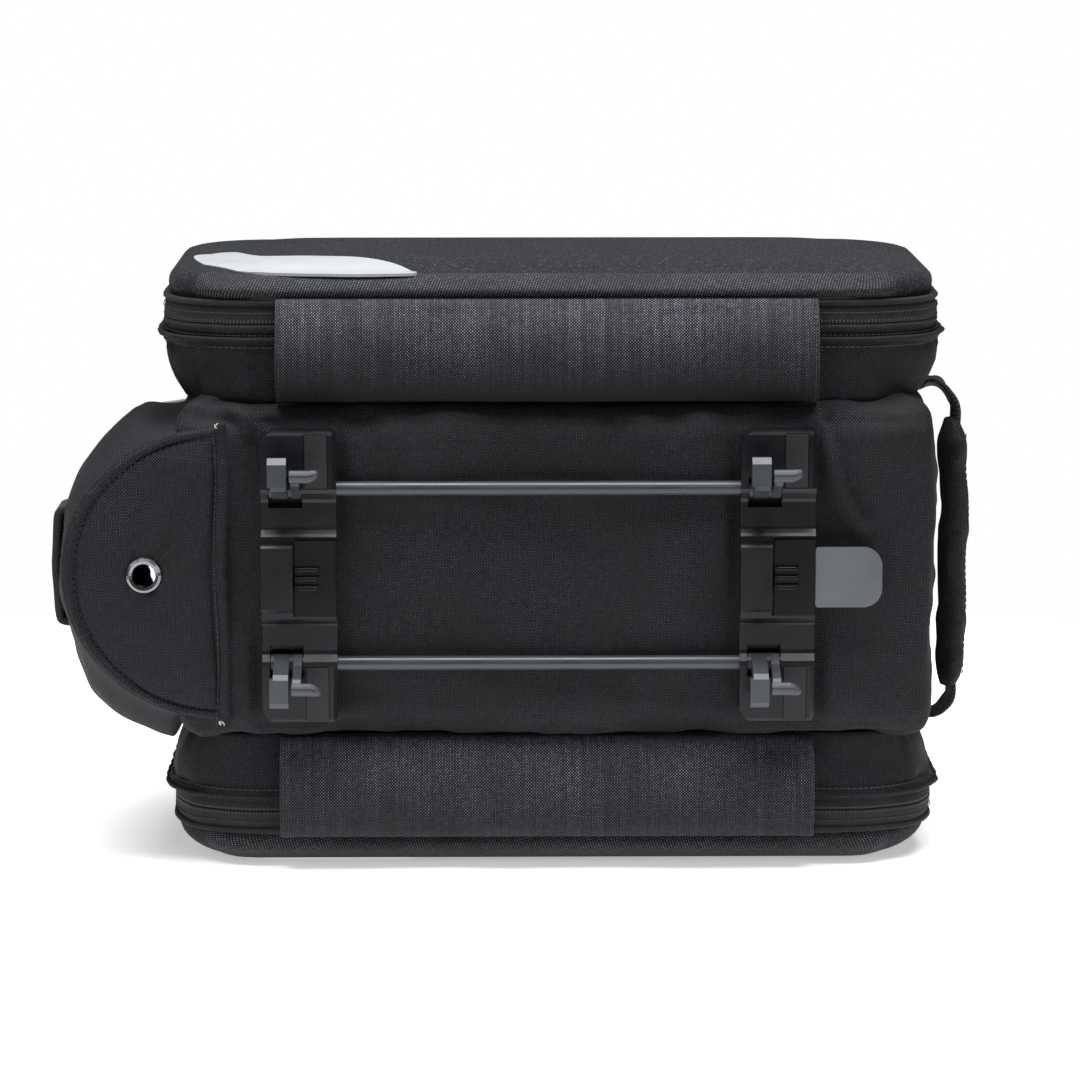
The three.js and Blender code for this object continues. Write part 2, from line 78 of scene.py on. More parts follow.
PANEL = bag_box("base_panel")
TUB_END, TUB_HALF = PANEL[1][0], PANEL[1][2]
TUB_RIM = bag_box("upper_side_wall")[1][1]
GUSSET = bag_box("upper_gusset")
GUSSET_TAPE = bag_box("upper_zipper_tape_on_gusset")
SHELL_TAPE = bag_box("upper_zipper_tape_on_shell")
SHELL = bag_box("upper_shell")
FLAP = bag_box("upper_hinge_flap")
LID = bag_box("lid_shell")
PARTING = (GUSSET_TAPE[1][2] + SHELL_TAPE[0][2]) / 2
COMP_LEFT, COMP_RIGHT = GUSSET[0][0], GUSSET[1][0]
COMP_FRONT, COMP_BACK = GUSSET[0][1], GUSSET[1][1]
COMP_CORNER = 45.0

# ------------------------------------------------------------------ shapes


def waves(points, spacing, seed, count=9):
    """Smooth values between about -1 and 1 at the points, whose bumps are about `spacing` apart."""
    rng = np.random.default_rng(seed)
    direction = rng.normal(size=(count, 3))
    direction /= np.linalg.norm(direction, axis=1)[:, None]
    rate = 2 * math.pi / spacing * rng.uniform(0.6, 1.5, count)
    phase = rng.uniform(0, 2 * math.pi, count)
    return np.sin(points @ (direction * rate[:, None]).T + phase).sum(-1) / math.sqrt(count)


def smooth(value, low, high):
    """0 below low, 1 above high, and an S-curve between."""
    t = np.clip((value - low) / (high - low), 0, 1)
    return t * t * (3 - 2 * t)


def bump(value, centre, width):
    return np.exp(-(((value - centre) / width) ** 2))


def spline(controls, count, closed=False):
    """Points evenly spaced along a smooth curve through the control points."""
    c = np.asarray(controls, float)
    if closed:
        c = np.vstack([c[-1:], c, c[:2]])
    else:
        c = np.vstack([2 * c[0] - c[1], c, 2 * c[-1] - c[-2]])
    t = np.linspace(0, 1, 24, endpoint=False)[:, None]
    run = [0.5 * (2 * b + (d - a) * t + (2 * a - 5 * b + 4 * d - e) * t**2 + (3 * b - a - 3 * d + e) * t**3)
           for a, b, d, e in zip(c[:-3], c[1:-2], c[2:-1], c[3:])]
    return evenly(np.vstack([*run, c[-2][None]]), count, closed)


def evenly(line, count, closed=False):
    """The line's points, set again at even distances along it."""
    step = np.r_[0, np.cumsum(np.linalg.norm(np.diff(line, axis=0), axis=1))]
    at = np.linspace(0, step[-1], count, endpoint=not closed)
    return np.stack([np.interp(at, step, line[:, k]) for k in range(line.shape[1])], 1)


def add_object(name, data):
    new = bpy.data.objects.new(name, data)
    bpy.context.scene.collection.objects.link(new)
    return new


def new_piece(name, points, faces, uv, shade_smooth=True):
    """A closed mesh object from points in bag millimetres; uv is one pair for each face corner, in metres."""
    mesh = bpy.data.meshes.new(name)
    mesh.from_pydata(to_frame(points).tolist(), [], faces)
    mesh.uv_layers.new(name="UVMap").data.foreach_set("uv", np.asarray(uv, np.float32).ravel())
    mesh.validate()
    mesh.polygons.foreach_set("use_smooth", [shade_smooth] * len(mesh.polygons))
    piece = add_object(name, mesh)
    outward(piece)
    return piece


def grid_mesh(rows, wrap_rows=False, wrap_columns=False):
    """Points, faces and metric uv of a grid of shape (rows, columns, 3)."""
    n, m = rows.shape[:2]
    index = np.arange(n * m).reshape(n, m)
    down = np.r_[np.arange(n), 0] if wrap_rows else np.arange(n)
    across = np.r_[np.arange(m), 0] if wrap_columns else np.arange(m)
    a = index[np.ix_(down[:-1], across[:-1])]
    b = index[np.ix_(down[:-1], across[1:])]
    c = index[np.ix_(down[1:], across[1:])]
    d = index[np.ix_(down[1:], across[:-1])]
    faces = np.stack([a, b, c, d], -1).reshape(-1, 4)
    full = rows[down][:, across]
    along = np.linalg.norm(np.diff(full, axis=1), axis=2).mean(0)
    beside = np.linalg.norm(np.diff(full, axis=0), axis=2).mean(1)
    u = np.r_[0, np.cumsum(along)] * MM
    v = np.r_[0, np.cumsum(beside)] * MM
    uu, vv = np.meshgrid(u, v)
    corner = np.stack([uu, vv], -1)
    uv = np.stack([corner[:-1, :-1], corner[:-1, 1:], corner[1:, 1:], corner[1:, :-1]], 2).reshape(-1, 2)
    return rows.reshape(-1, 3), faces, uv


def capped(points, faces, uv, loops):
    """Adds one flat face over each loop of point indices."""
    faces = [list(map(int, f)) for f in faces]
    uv = list(map(tuple, uv))
    for loop in loops:
        faces.append([int(i) for i in loop])
        uv += [(points[i][0] * MM, points[i][2] * MM) for i in loop]
    return points, faces, uv


def grid_piece(name, rows, wrap_rows=False, wrap_columns=False, cap_rows=False, cap_columns=False):
    """A piece from a grid of points, closed by wrapping it round or by capping its ends."""
    points, faces, uv = grid_mesh(rows, wrap_rows, wrap_columns)
    n, m = rows.shape[:2]
    index = np.arange(n * m).reshape(n, m)
    loops = []
    if cap_rows:
        loops += [index[0], index[-1][::-1]]
    if cap_columns:
        loops += [index[:, 0][::-1], index[:, -1]]
    return new_piece(name, *capped(points, faces, uv, loops))


def outward(piece):
    """Turns every face of a closed mesh outwards."""
    work = bmesh.new()
    work.from_mesh(piece.data)
    bmesh.ops.recalc_face_normals(work, faces=work.faces)
    work.to_mesh(piece.data)
    work.free()


def frames_along(line, up, closed=False):
    """Tangent, normal and side at each point of a line; the normal stays near `up`."""
    if closed:
        tangent = np.roll(line, -1, 0) - np.roll(line, 1, 0)
    else:
        tangent = np.gradient(line, axis=0)
    tangent /= np.linalg.norm(tangent, axis=1)[:, None]
    up = np.broadcast_to(np.asarray(up, float), line.shape)
    normal = up - (up * tangent).sum(1)[:, None] * tangent
    normal /= np.linalg.norm(normal, axis=1)[:, None]
    return tangent, normal, np.cross(tangent, normal)


def swept(line, section, up, closed=False):
    """A grid: the section's (normal, side) points carried along the line. A section may change along it."""
    _, normal, side = frames_along(line, up, closed)
    section = np.asarray(section, float)
    if section.ndim == 2:
        section = np.broadcast_to(section, (len(line), *section.shape))
    rows = line[:, None] + section[..., 0:1] * normal[:, None] + section[..., 1:2] * side[:, None]
    return rows.transpose(1, 0, 2)


def round_section(thick, wide, corner, steps=3):
    """A flat band's section with rounded edges: (normal, side) points round a rounded rectangle."""
    a, b = thick / 2 - corner, wide / 2 - corner
    out = []
    for k, (sa, sb) in enumerate(((1, 1), (-1, 1), (-1, -1), (1, -1))):
        for i in range(steps + 1):
            t = math.pi / 2 * (k + i / steps)
            out.append((sa * a + corner * math.cos(t), sb * b + corner * math.sin(t)))
    return np.array(out)


def oval(thick, wide, count=12):
    t = np.arange(count) * 2 * math.pi / count
    return np.stack([thick / 2 * np.cos(t), wide / 2 * np.sin(t)], 1)


def tube(name, line, section, up, closed=False):
    rows = swept(line, section, up, closed)
    return grid_piece(name, rows, wrap_rows=True, wrap_columns=closed, cap_columns=not closed)


def repeated(line, up, pitch, unit_points, unit_faces, closed=False, seed=0, spread=0.0):
    """Copies of a small solid (normal, along, side) set at `pitch` along a line, as merged mesh parts."""
    up = np.broadcast_to(np.asarray(up, float), line.shape)
    if closed:
        line, up = np.vstack([line, line[:1]]), np.vstack([up, up[:1]])
    length = np.linalg.norm(np.diff(line, axis=0), axis=1).sum()
    count = max(2, int(round(length / pitch)))
    at = evenly(line, count + 1 if closed else count)
    up = np.stack([np.interp(np.linspace(0, 1, len(at)), np.linspace(0, 1, len(up)), up[:, k])
                   for k in range(3)], 1)
    tangent, normal, side = frames_along(at, up)
    if closed:
        at, tangent, normal, side = at[:-1], tangent[:-1], normal[:-1], side[:-1]
    rng = np.random.default_rng(seed)
    size = 1 + spread * rng.uniform(-1, 1, (len(at), 1, 3))
    unit = np.asarray(unit_points, float)[None] * size
    points = (at[:, None] + unit[..., 0:1] * normal[:, None] + unit[..., 1:2] * tangent[:, None]
              + unit[..., 2:3] * side[:, None]).reshape(-1, 3)
    base = np.arange(len(at))[:, None, None] * unit.shape[1]
    faces = (np.asarray(unit_faces)[None] + base).reshape(-1, len(unit_faces[0]))
    return points, faces, points[faces.ravel()][:, [0, 2]] * MM


def grain_of_rice(height, length, width):
    """A small rounded solid for one stitch or one tooth, as (normal, along, side) points and faces."""
    ring = oval(2, 2, 6)
    rows = []
    for a, r in ((-0.5, 0.45), (-0.3, 0.95), (0.3, 0.95), (0.5, 0.45)):
        rows.append(np.column_stack([ring[:, 0] * r * height / 2, np.full(6, a * length),
                                     ring[:, 1] * r * width / 2]))
    faces = [[i + j, i + (j + 1) % 6, i + 6 + (j + 1) % 6, i + 6 + j] for i in (0, 6, 12) for j in range(6)]
    return np.vstack(rows), [*faces, [0, 1, 2, 3], [3, 4, 5, 0], [21, 20, 19, 18], [18, 23, 22, 21]]


UNEVEN_STITCHES = 0.12


def stitch_line(name, line, up, closed=False, pitch=3.0, length=2.3, width=0.75, height=0.6, seed=1):
    """A run of sewn stitches lying on a surface along the line."""
    unit, faces = grain_of_rice(height, length, width)
    return new_piece(name, *repeated(line, up, pitch, unit, faces, closed, seed, UNEVEN_STITCHES))


# ------------------------------------------------------------------ side compartment outline


RING_COUNT = 420
LEAN = {1: 0.3, -1: 1.0}


def rectangle(low, high, corner, count, start, steps):
    """A rounded rectangle's points and outward normals, from x = start on its high side."""
    inner = np.array([low, high], float) + [[corner], [-corner]]
    line = [(start, high[1])]
    for ix, iy, quarter in ((1, 1, 0), (1, 0, -1), (0, 0, -2), (0, 1, -3)):
        for k in range(steps + 1):
            t = math.pi / 2 * (1 + quarter - k / steps)
            line.append((inner[ix][0] + corner * math.cos(t), inner[iy][1] + corner * math.sin(t)))
    points = evenly(np.array([*line, line[0]]), count, closed=True)
    away = points - np.clip(points, *inner)
    return points, away / np.linalg.norm(away, axis=1)[:, None]


RING, RING_NORMAL = rectangle((COMP_LEFT, COMP_FRONT), (COMP_RIGHT, COMP_BACK), COMP_CORNER, RING_COUNT,
                              0, 32)
RING_FRONT = smooth(COMP_FRONT + 16 - RING[:, 1], 0, 14)


def ring_rows(profile, side):
    """Grid rows from a profile of (offset, out) rows, each a number or one value for each ring point."""
    rows = []
    for offset, out in profile:
        xy = RING + RING_NORMAL * np.broadcast_to(offset, len(RING))[:, None] + [LEAN[side], 0]
        rows.append(np.column_stack([xy, side * np.broadcast_to(out, len(RING))]))
    return np.array(rows)


def ring_line(offset, out, side):
    return ring_rows([(offset, out)], side)[0]


# ------------------------------------------------------------------ materials


class Shader:
    """Wires one material's nodes. Sockets take numbers, colours or another node's output."""

    def __init__(self, name):
        self.material = bpy.data.materials.new(name)
        self.material.use_nodes = True
        self.tree = self.material.node_tree
        self.surface = self.tree.nodes["Principled BSDF"]

    def put(self, socket, value):
        if isinstance(value, bpy.types.NodeSocket):
            self.tree.links.new(value, socket)
        elif hasattr(socket.default_value, "__len__") and len(socket.default_value) == 4:
            socket.default_value = (*value[:3], 1.0)
        else:
            socket.default_value = value

    def node(self, kind, output=0, settings=(), **inputs):
        n = self.tree.nodes.new("ShaderNode" + kind)
        for key, value in dict(settings).items():
            setattr(n, key, value)
        for key, value in inputs.items():
            self.put(n.inputs[int(key[1:])] if key[0] == "i" and key[1:].isdigit() else n.inputs[key], value)
        return n.outputs[output]

    def math(self, operation, a, b=0.0, clamp=False):
        return self.node("Math", settings={"operation": operation, "use_clamp": clamp}, i0=a, i1=b)

    def times(self, a, b, clamp=False):
        return self.math("MULTIPLY", a, b, clamp)

    def plus(self, a, b, clamp=False):
        return self.math("ADD", a, b, clamp)

    def ridges(self, value):
        """Rounded ridges, one for each whole number."""
        return self.math("ABSOLUTE", self.math("SINE", self.times(value, math.pi)))

    def mapped(self, vector, *scale):
        return self.node("Mapping", 0, Vector=vector, Scale=scale)

    def split(self, vector):
        """The first two parts of a vector."""
        parts = self.tree.nodes.new("ShaderNodeSeparateXYZ")
        self.tree.links.new(vector, parts.inputs[0])
        return parts.outputs[0], parts.outputs[1]

    def mix(self, factor, a, b):
        return self.node("Mix", 2, {"data_type": "RGBA"}, i0=factor, i6=a, i7=b)

    def noise(self, vector, scale, detail=3.0, roughness=0.55):
        return self.node("TexNoise", 0, Vector=vector, Scale=scale, Detail=detail, Roughness=roughness)

    def ramp(self, value, *stops):
        n = self.tree.nodes.new("ShaderNodeValToRGB")
        self.tree.links.new(value, n.inputs[0])
        elements = n.color_ramp.elements
        while len(elements) < len(stops):
            elements.new(0.5)
        for e, (at, level) in zip(elements, stops):
            e.position = at
            e.color = (level, level, level, 1)
        return n.outputs[0]

    def uv(self):
        return self.node("UVMap", 0, {"uv_map": "UVMap"})

    def place(self):
        return self.node("TexCoord", 3)

    def edges(self):
        """Over a half on outer edges and corners."""
        return self.node("NewGeometry", 7)

    def finish(self, colour, roughness, height=None, strength=0.3, distance=0.0004, **fixed):
        s = self.surface.inputs
        self.put(s["Base Color"], colour)
        self.put(s["Roughness"], roughness)
        for key, value in fixed.items():
            self.put(s[key.replace("_", " ")], value)
        if height is not None:
            bumped = self.node("Bump", 0, Strength=strength, Distance=distance, Height=height)
            self.tree.links.new(bumped, s["Normal"])
        return self.material


WEFT_SHARE = 0.3
THREAD_SHARPNESS = 2.6


def weave_height(s, pitch, turn):
    """Plain weave on metric uv: 0 between the threads and 1 on top of them, and the thread count upwards."""
    threads = s.node("Mapping", 0, Vector=s.uv(), Rotation=(0, 0, turn), Scale=(1 / pitch, 1 / pitch, 1))
    u, v = s.split(threads)
    over_u, over_v = s.ridges(u), s.ridges(v)
    parity = s.math("FLOORED_MODULO", s.plus(s.math("FLOOR", u), s.math("FLOOR", v)), 2.0)
    warp = s.times(over_u, s.plus(s.times(over_v, 0.6), 0.4))
    weft = s.times(s.times(over_v, s.plus(s.times(over_u, 0.6), 0.4)), WEFT_SHARE)
    return s.plus(s.times(warp, parity), s.times(weft, s.math("SUBTRACT", 1.0, parity))), v


def cloth(name, dark, light, pitch=0.00076, rough=0.78, sheen=0.12, bump=0.6, rib=0.0, turn=0.0, painted_light_fade=None):
    """Woven polyester: painted highlights on the thread tops and painted shade in the gaps between threads,
    uneven yarn, faint random blotches and a soft sheen.
    """
    s = Shader(name)
    height, row = weave_height(s, pitch, turn)
    yarn = s.noise(s.mapped(s.uv(), 1 / pitch, 0.18 / pitch, 1), 1.0, 2.0)
    cross = s.noise(s.mapped(s.uv(), 0.18 / pitch, 1 / pitch, 1), 1.0, 2.0)
    blotch = s.noise(s.place(), 26.0, 4.0)
    uneven = s.times(s.ramp(yarn, (0.36, 0.45), (0.66, 1.0)), s.ramp(cross, (0.34, 0.45), (0.66, 1.0)))
    # Painted light: the thread tops are mixed towards the light colour as a painted glint, and the gaps stay
    # dark as painted shade.
    level = s.times(s.math("POWER", height, THREAD_SHARPNESS), uneven)
    level = s.times(level, s.ramp(blotch, (0.32, 0.5), (0.66, 1.0)), clamp=True)
    if rib:
        streak = s.noise(s.mapped(s.uv(), 0.3 / pitch, 0.006 / pitch, 1), 1.0, 1.0)
        level = s.times(level, s.ramp(streak, (0.35, 1 - rib), (0.68, 1.0)))
    # Painted light: the thread-top colour is faded across the rows, lighter on the side that the light above
    # falls on.
    if painted_light_fade:
        level = s.times(level, s.ramp(s.times(row, pitch), *painted_light_fade))
    roughness = s.ramp(blotch, (0.3, rough - 0.08), (0.7, rough + 0.05))
    return s.finish(s.mix(level, dark, light), roughness, height, bump, pitch * 0.35,
                    Sheen_Weight=sheen, Sheen_Roughness=0.45, Specular_IOR_Level=0.25)


def grainy_foam(name, dark, light):
    """Moulded foam under a fine flecked fabric."""
    s = Shader(name)
    fine = s.ramp(s.noise(s.place(), 1300.0, 2.0, 0.7), (0.35, 0.0), (0.7, 1.0))
    fleck = s.ramp(s.noise(s.place(), 640.0, 1.0), (0.56, 0.0), (0.7, 1.0))
    blotch = s.ramp(s.noise(s.place(), 30.0, 4.0), (0.3, 0.75), (0.7, 1.0))
    level = s.plus(s.times(fine, 0.4), s.times(fleck, 0.55))
    return s.finish(s.mix(s.times(level, blotch), dark, light), s.ramp(fine, (0.3, 0.72), (0.7, 0.9)),
                    fine, 0.5, 0.0004, Sheen_Weight=0.06, Sheen_Roughness=0.4, Specular_IOR_Level=0.2)


def moulded(name, dark, light, rough=0.42, grain=2600.0, bump=0.12, **fixed):
    """Fine-grained moulded plastic or rubber, a little paler and glossier where hands polish it."""
    s = Shader(name)
    grit = s.noise(s.place(), grain, 2.0, 0.6)
    cloud = s.noise(s.place(), 45.0, 5.0)
    worn = s.ramp(s.edges(), (0.5, 0.0), (0.58, 1.0))
    level = s.plus(s.times(worn, 0.45), s.ramp(cloud, (0.35, 0.1), (0.7, 0.55)), clamp=True)
    roughness = s.plus(s.ramp(cloud, (0.3, rough - 0.06), (0.7, rough + 0.08)), s.times(grit, 0.08))
    return s.finish(s.mix(level, dark, light), roughness, grit, bump, 0.0002, **fixed)


def twill(name, dark, light, pitch=0.0008):
    """Zipper tape: a herringbone of fine slanted ribs."""
    s = Shader(name)
    u, v = (s.times(part, 1 / pitch) for part in s.split(s.uv()))
    rib = s.ridges(s.plus(u, s.math("PINGPONG", v, 3.0)))
    uneven = s.noise(s.place(), 300.0, 3.0)
    level = s.times(rib, s.ramp(uneven, (0.3, 0.5), (0.7, 1.0)))
    return s.finish(s.mix(level, dark, light), s.ramp(uneven, (0.3, 0.7), (0.7, 0.85)), rib, 0.5, 0.0002,
                    Sheen_Weight=0.04, Specular_IOR_Level=0.2)


def webbing(name, dark, light, pitch=0.0016):
    """Woven strap: ribs across it, with the yarn's slant on each."""
    s = Shader(name)
    u, v = (s.times(part, 1 / pitch) for part in s.split(s.uv()))
    rib, yarn = s.ridges(u), s.ridges(s.plus(s.times(v, 1.4), u))
    fuzz = s.noise(s.place(), 500.0, 3.0)
    level = s.times(s.times(rib, s.plus(s.times(yarn, 0.5), 0.5)), s.ramp(fuzz, (0.3, 0.6), (0.7, 1.0)))
    return s.finish(s.mix(level, dark, light), s.ramp(fuzz, (0.3, 0.68), (0.7, 0.85)), rib, 0.7, 0.0005,
                    Sheen_Weight=0.2, Specular_IOR_Level=0.3)


def metal(name, dark, light, rough, brushed=0.12):
    """Brushed metal, paler on its edges."""
    s = Shader(name)
    streak = s.noise(s.mapped(s.place(), 90, 2200, 2200), 1.0, 3.0)
    cloud = s.noise(s.place(), 60.0, 4.0)
    level = s.plus(s.times(cloud, 0.5), s.ramp(s.edges(), (0.5, 0.0), (0.58, 0.6)), clamp=True)
    roughness = s.plus(s.times(streak, brushed), rough - brushed / 2)
    return s.finish(s.mix(level, dark, light), roughness, streak, 0.08, 0.0001, Metallic=1.0)


def beads(name, dark, light):
    """Retroreflective film: tiny glass beads on silver."""
    s = Shader(name)
    cell = s.node("TexVoronoi", 0, Vector=s.place(), Scale=2600.0)
    cloud = s.noise(s.place(), 90.0, 4.0)
    level = s.times(s.ramp(cell, (0.0, 1.0), (0.9, 0.7)), s.ramp(cloud, (0.3, 0.85), (0.7, 1.0)))
    return s.finish(s.mix(level, dark, light), s.ramp(cloud, (0.3, 0.42), (0.7, 0.55)), cell, 0.1, 0.0001,
                    Sheen_Weight=0.1)


def clear_tab(name):
    """Frosted grey polycarbonate with faint moulding clouds."""
    s = Shader(name)
    cloud = s.noise(s.place(), 40.0, 3.0)
    grit = s.noise(s.place(), 1800.0, 2.0)
    colour = s.mix(s.ramp(cloud, (0.3, 0.0), (0.7, 1.0)), (0.085, 0.098, 0.112), (0.115, 0.130, 0.146))
    return s.finish(colour, s.ramp(cloud, (0.3, 0.34), (0.7, 0.46)), grit, 0.06, 0.0001,
                    Transmission_Weight=0.12, Subsurface_Weight=0.15, Subsurface_Scale=0.002,
                    Coat_Weight=0.2, Coat_Roughness=0.25)


def mesh_lining(name):
    """Open knitted lining on pale cloth."""
    s = Shader(name)
    cell = s.node("TexVoronoi", 0, Vector=s.place(), Scale=620.0)
    hole = s.ramp(cell, (0.18, 0.0), (0.34, 1.0))
    cloud = s.ramp(s.noise(s.place(), 35.0, 4.0), (0.3, 0.8), (0.7, 1.0))
    colour = s.mix(s.times(hole, cloud), (0.05, 0.05, 0.055), (0.22, 0.22, 0.23))
    return s.finish(colour, s.ramp(cloud, (0.3, 0.7), (0.7, 0.85)), hole, 0.5, 0.0004, Sheen_Weight=0.2)


BLACK = (0.0012, 0.0012, 0.0018)
# The light colour of each cloth is a painted highlight on its thread tops, brightest on the flap and cove
# cloths; the dark colour is the cloth's own black, left in the gaps as painted shade.
BODY_CLOTH = cloth("body_cloth", BLACK, (0.136, 0.136, 0.172), sheen=0.03)
# Painted light: the upper flap cloth is dark at the tub's seam and light towards the shell, and the lower
# flap cloth is light at the seam and darker towards the shell. Both are lighter towards the light above, and
# the lid hinge strip uses the upper one.
FLAP_CLOTH_PAINTED_LIGHT = cloth("flap_cloth", BLACK, (0.80, 0.81, 0.99), rib=0.5, sheen=0.04,
                   painted_light_fade=((0.012, 0.05), (0.046, 1.0)))
LOW_FLAP_CLOTH_PAINTED_LIGHT = cloth("low_flap_cloth", BLACK, (0.78, 0.79, 0.96), rib=0.4, sheen=0.04,
                       painted_light_fade=((0.004, 1.0), (0.044, 0.34)))
POCKET_CLOTH = cloth("pocket_cloth", BLACK, (0.155, 0.155, 0.198), sheen=0.03)
COVE_CLOTH = cloth("cove_cloth", BLACK, (0.40, 0.41, 0.48), turn=0.55, sheen=0.05)
LINING_CLOTH = cloth("lining_cloth", (0.06, 0.06, 0.065), (0.16, 0.16, 0.17), pitch=0.0006, rough=0.6)
SHELL_FOAM = grainy_foam("shell_foam", BLACK, (0.060, 0.064, 0.080))
LID_FOAM = grainy_foam("lid_foam", (0.0015, 0.0015, 0.002), (0.05, 0.052, 0.062))
TAPE_TWILL = twill("tape_twill", (0.001, 0.001, 0.001), (0.036, 0.034, 0.031))
COIL_NYLON = moulded("coil_nylon", (0.003, 0.003, 0.003), (0.016, 0.016, 0.015), rough=0.45)
STRAP = webbing("strap", (0.002, 0.002, 0.002), (0.022, 0.021, 0.021))
THREAD = moulded("thread", (0.008, 0.008, 0.010), (0.050, 0.050, 0.060), rough=0.7, Specular_IOR_Level=0.2)
PALE_THREAD = moulded("pale_thread", (0.4, 0.4, 0.42), (0.6, 0.6, 0.62), rough=0.6)
NYLON = moulded("nylon", (0.0022, 0.0025, 0.0034), (0.0064, 0.0072, 0.0094), rough=0.28,
                Specular_IOR_Level=0.28)
SLIDER_NYLON = moulded("slider_nylon", (0.0011, 0.0013, 0.0018), (0.0036, 0.004, 0.0054), rough=0.34,
                       Specular_IOR_Level=0.2)
HOOK_NYLON = moulded("hook_nylon", (0.016, 0.0185, 0.0225), (0.045, 0.050, 0.059), rough=0.36)
RUBBER = moulded("rubber", (0.0018, 0.002, 0.0027), (0.0055, 0.0062, 0.008), rough=0.62, grain=1800.0)
BOARD = moulded("board_plastic", (0.008, 0.008, 0.008), (0.03, 0.03, 0.03), rough=0.55)
ROD_METAL = moulded("rod_paint", (0.012, 0.0145, 0.018), (0.028, 0.032, 0.039), rough=0.34, grain=3000.0,
                    Specular_IOR_Level=0.6)
GUNMETAL = metal("gunmetal", (0.03, 0.03, 0.033), (0.22, 0.22, 0.24), 0.24)
ZIP_METAL = metal("zip_metal", (0.012, 0.012, 0.013), (0.06, 0.06, 0.065), 0.35)
STEEL = metal("steel", (0.18, 0.18, 0.19), (0.45, 0.45, 0.46), 0.3)
REFLECTIVE = beads("reflective_film", (0.30, 0.315, 0.33), (0.40, 0.42, 0.44))
PIPING_FILM = beads("piping_film", (0.12, 0.125, 0.13), (0.4, 0.41, 0.42))
TAB_PLASTIC = clear_tab("tab_plastic")
MESH_LINING = mesh_lining("mesh_lining")


def dress(piece, material, body, slot, *stands_for):
    """Gives a finished piece its material, its body and the CAD nodes that it stands for. The slot argument
    is not used.
    """
    piece.data.materials.clear()
    piece.data.materials.append(material)
    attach(piece, body)
    if stands_for:
        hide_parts(*stands_for)
    return piece


def sew(name, line, up, body="bag", slot="fabric", **style):
    """A run of stitches that rides on a body."""
    return dress(stitch_line(name, line, up, **style), THREAD, body, slot)


def coil(name, line, up, body, pitch, size):
    """One side of a closed zipper's teeth."""
    unit, faces = grain_of_rice(*size)
    teeth = new_piece(name, *repeated(line, up, pitch, unit, faces, closed=True, seed=5, spread=0.03))
    return dress(teeth, COIL_NYLON, body, "zipper_tape")


def cast(name, outer, inner):
    """A thick open shell: rings up its outside, then down its inside, each top closed by one face."""
    rows = np.array([*outer, *inner])
    m = rows.shape[1]
    points, faces, uv = grid_mesh(rows, True, True)
    keep = np.arange(len(faces)) // m != len(outer) - 1
    caps = [np.arange(m) + (len(outer) - 1) * m, (np.arange(m) + len(outer) * m)[::-1]]
    uv = uv.reshape(-1, 4, 2)[keep].reshape(-1, 2)
    return new_piece(name, *capped(points, faces[keep], uv, caps)), np.nonzero(keep)[0] // m


def layered(name, outer, inner):
    """A strip of thick cloth from rows on its outer face and rows on its inner face, both downwards."""
    return grid_piece(name, np.array([*outer, *inner[::-1]]), wrap_rows=True, cap_columns=True)


# ------------------------------------------------------------------ side compartments

WALL = 3.0
LIP = 1.7
FLAP_X = (FLAP[0][0], FLAP[1][0])
RING_AT = np.column_stack([RING, np.zeros(len(RING))])
RING_UP = np.column_stack([RING_NORMAL, np.zeros(len(RING))])


def ring_shell(name, side, outer, thickness, material, body, slot, *stands_for):
    """A closed wall round the compartment: outer (offset, out) rows, then the same rows further in."""
    inner = [(np.asarray(offset) - thickness, out) for offset, out in outer[::-1]]
    rows = ring_rows([*outer, *inner], side)
    piece = grid_piece(name, rows, wrap_rows=True, wrap_columns=True)
    return dress(piece, material, body, slot, *stands_for)


def gusset(side, prefix):
    """The fabric wall: tucked in at the tub's seam, swelling outwards, with puckers along both edges."""
    pucker = waves(RING_AT, 13, 3 + side)
    fold = waves(RING_AT, 45, 8 + side)
    front = RING_FRONT
    rows = []
    for out, offset in ((TUB_HALF - 1.5, -9.5), (TUB_HALF + 1, -8.2), (TUB_HALF + 4, -6.6), (90, -5.0),
                        (94, -3.4), (98, -2.0), (102, -0.9), (105.5, -0.4), (107.4, -0.7), (108.2, -0.1),
                        (110, 1.3), (111.4, 2.3), (112.2, 2.0)):
        near_seam = bump(out, TUB_HALF + 3, 7) + 0.8 * bump(out, 107, 3)
        swell = 2.0 * fold * bump(out, 97, 9) + 1.1 * pucker * near_seam
        held = offset * (1 - 0.62 * front) - 0.8 * front
        rows.append((held + swell, out + 0.35 * pucker * (out > 106)))
    ring_shell(prefix + "_gusset_cloth", side, rows, WALL, BODY_CLOTH, "bag", "fabric", prefix + "_gusset")
    bead = ring_line(3.0 * (1 - front) + 0.35 * pucker - 0.6, 112.2, side)
    lip = tube(prefix + "_gusset_lip", bead, oval(LIP * 1.5, LIP * 1.8, 8), (0, 0, 1), closed=True)
    dress(lip, BODY_CLOTH, "bag", "fabric")
    sew(prefix + "_gusset_stitching", ring_line(0.5 - 0.5 * front, 108.6, side), RING_UP, closed=True,
        seed=11 + side)


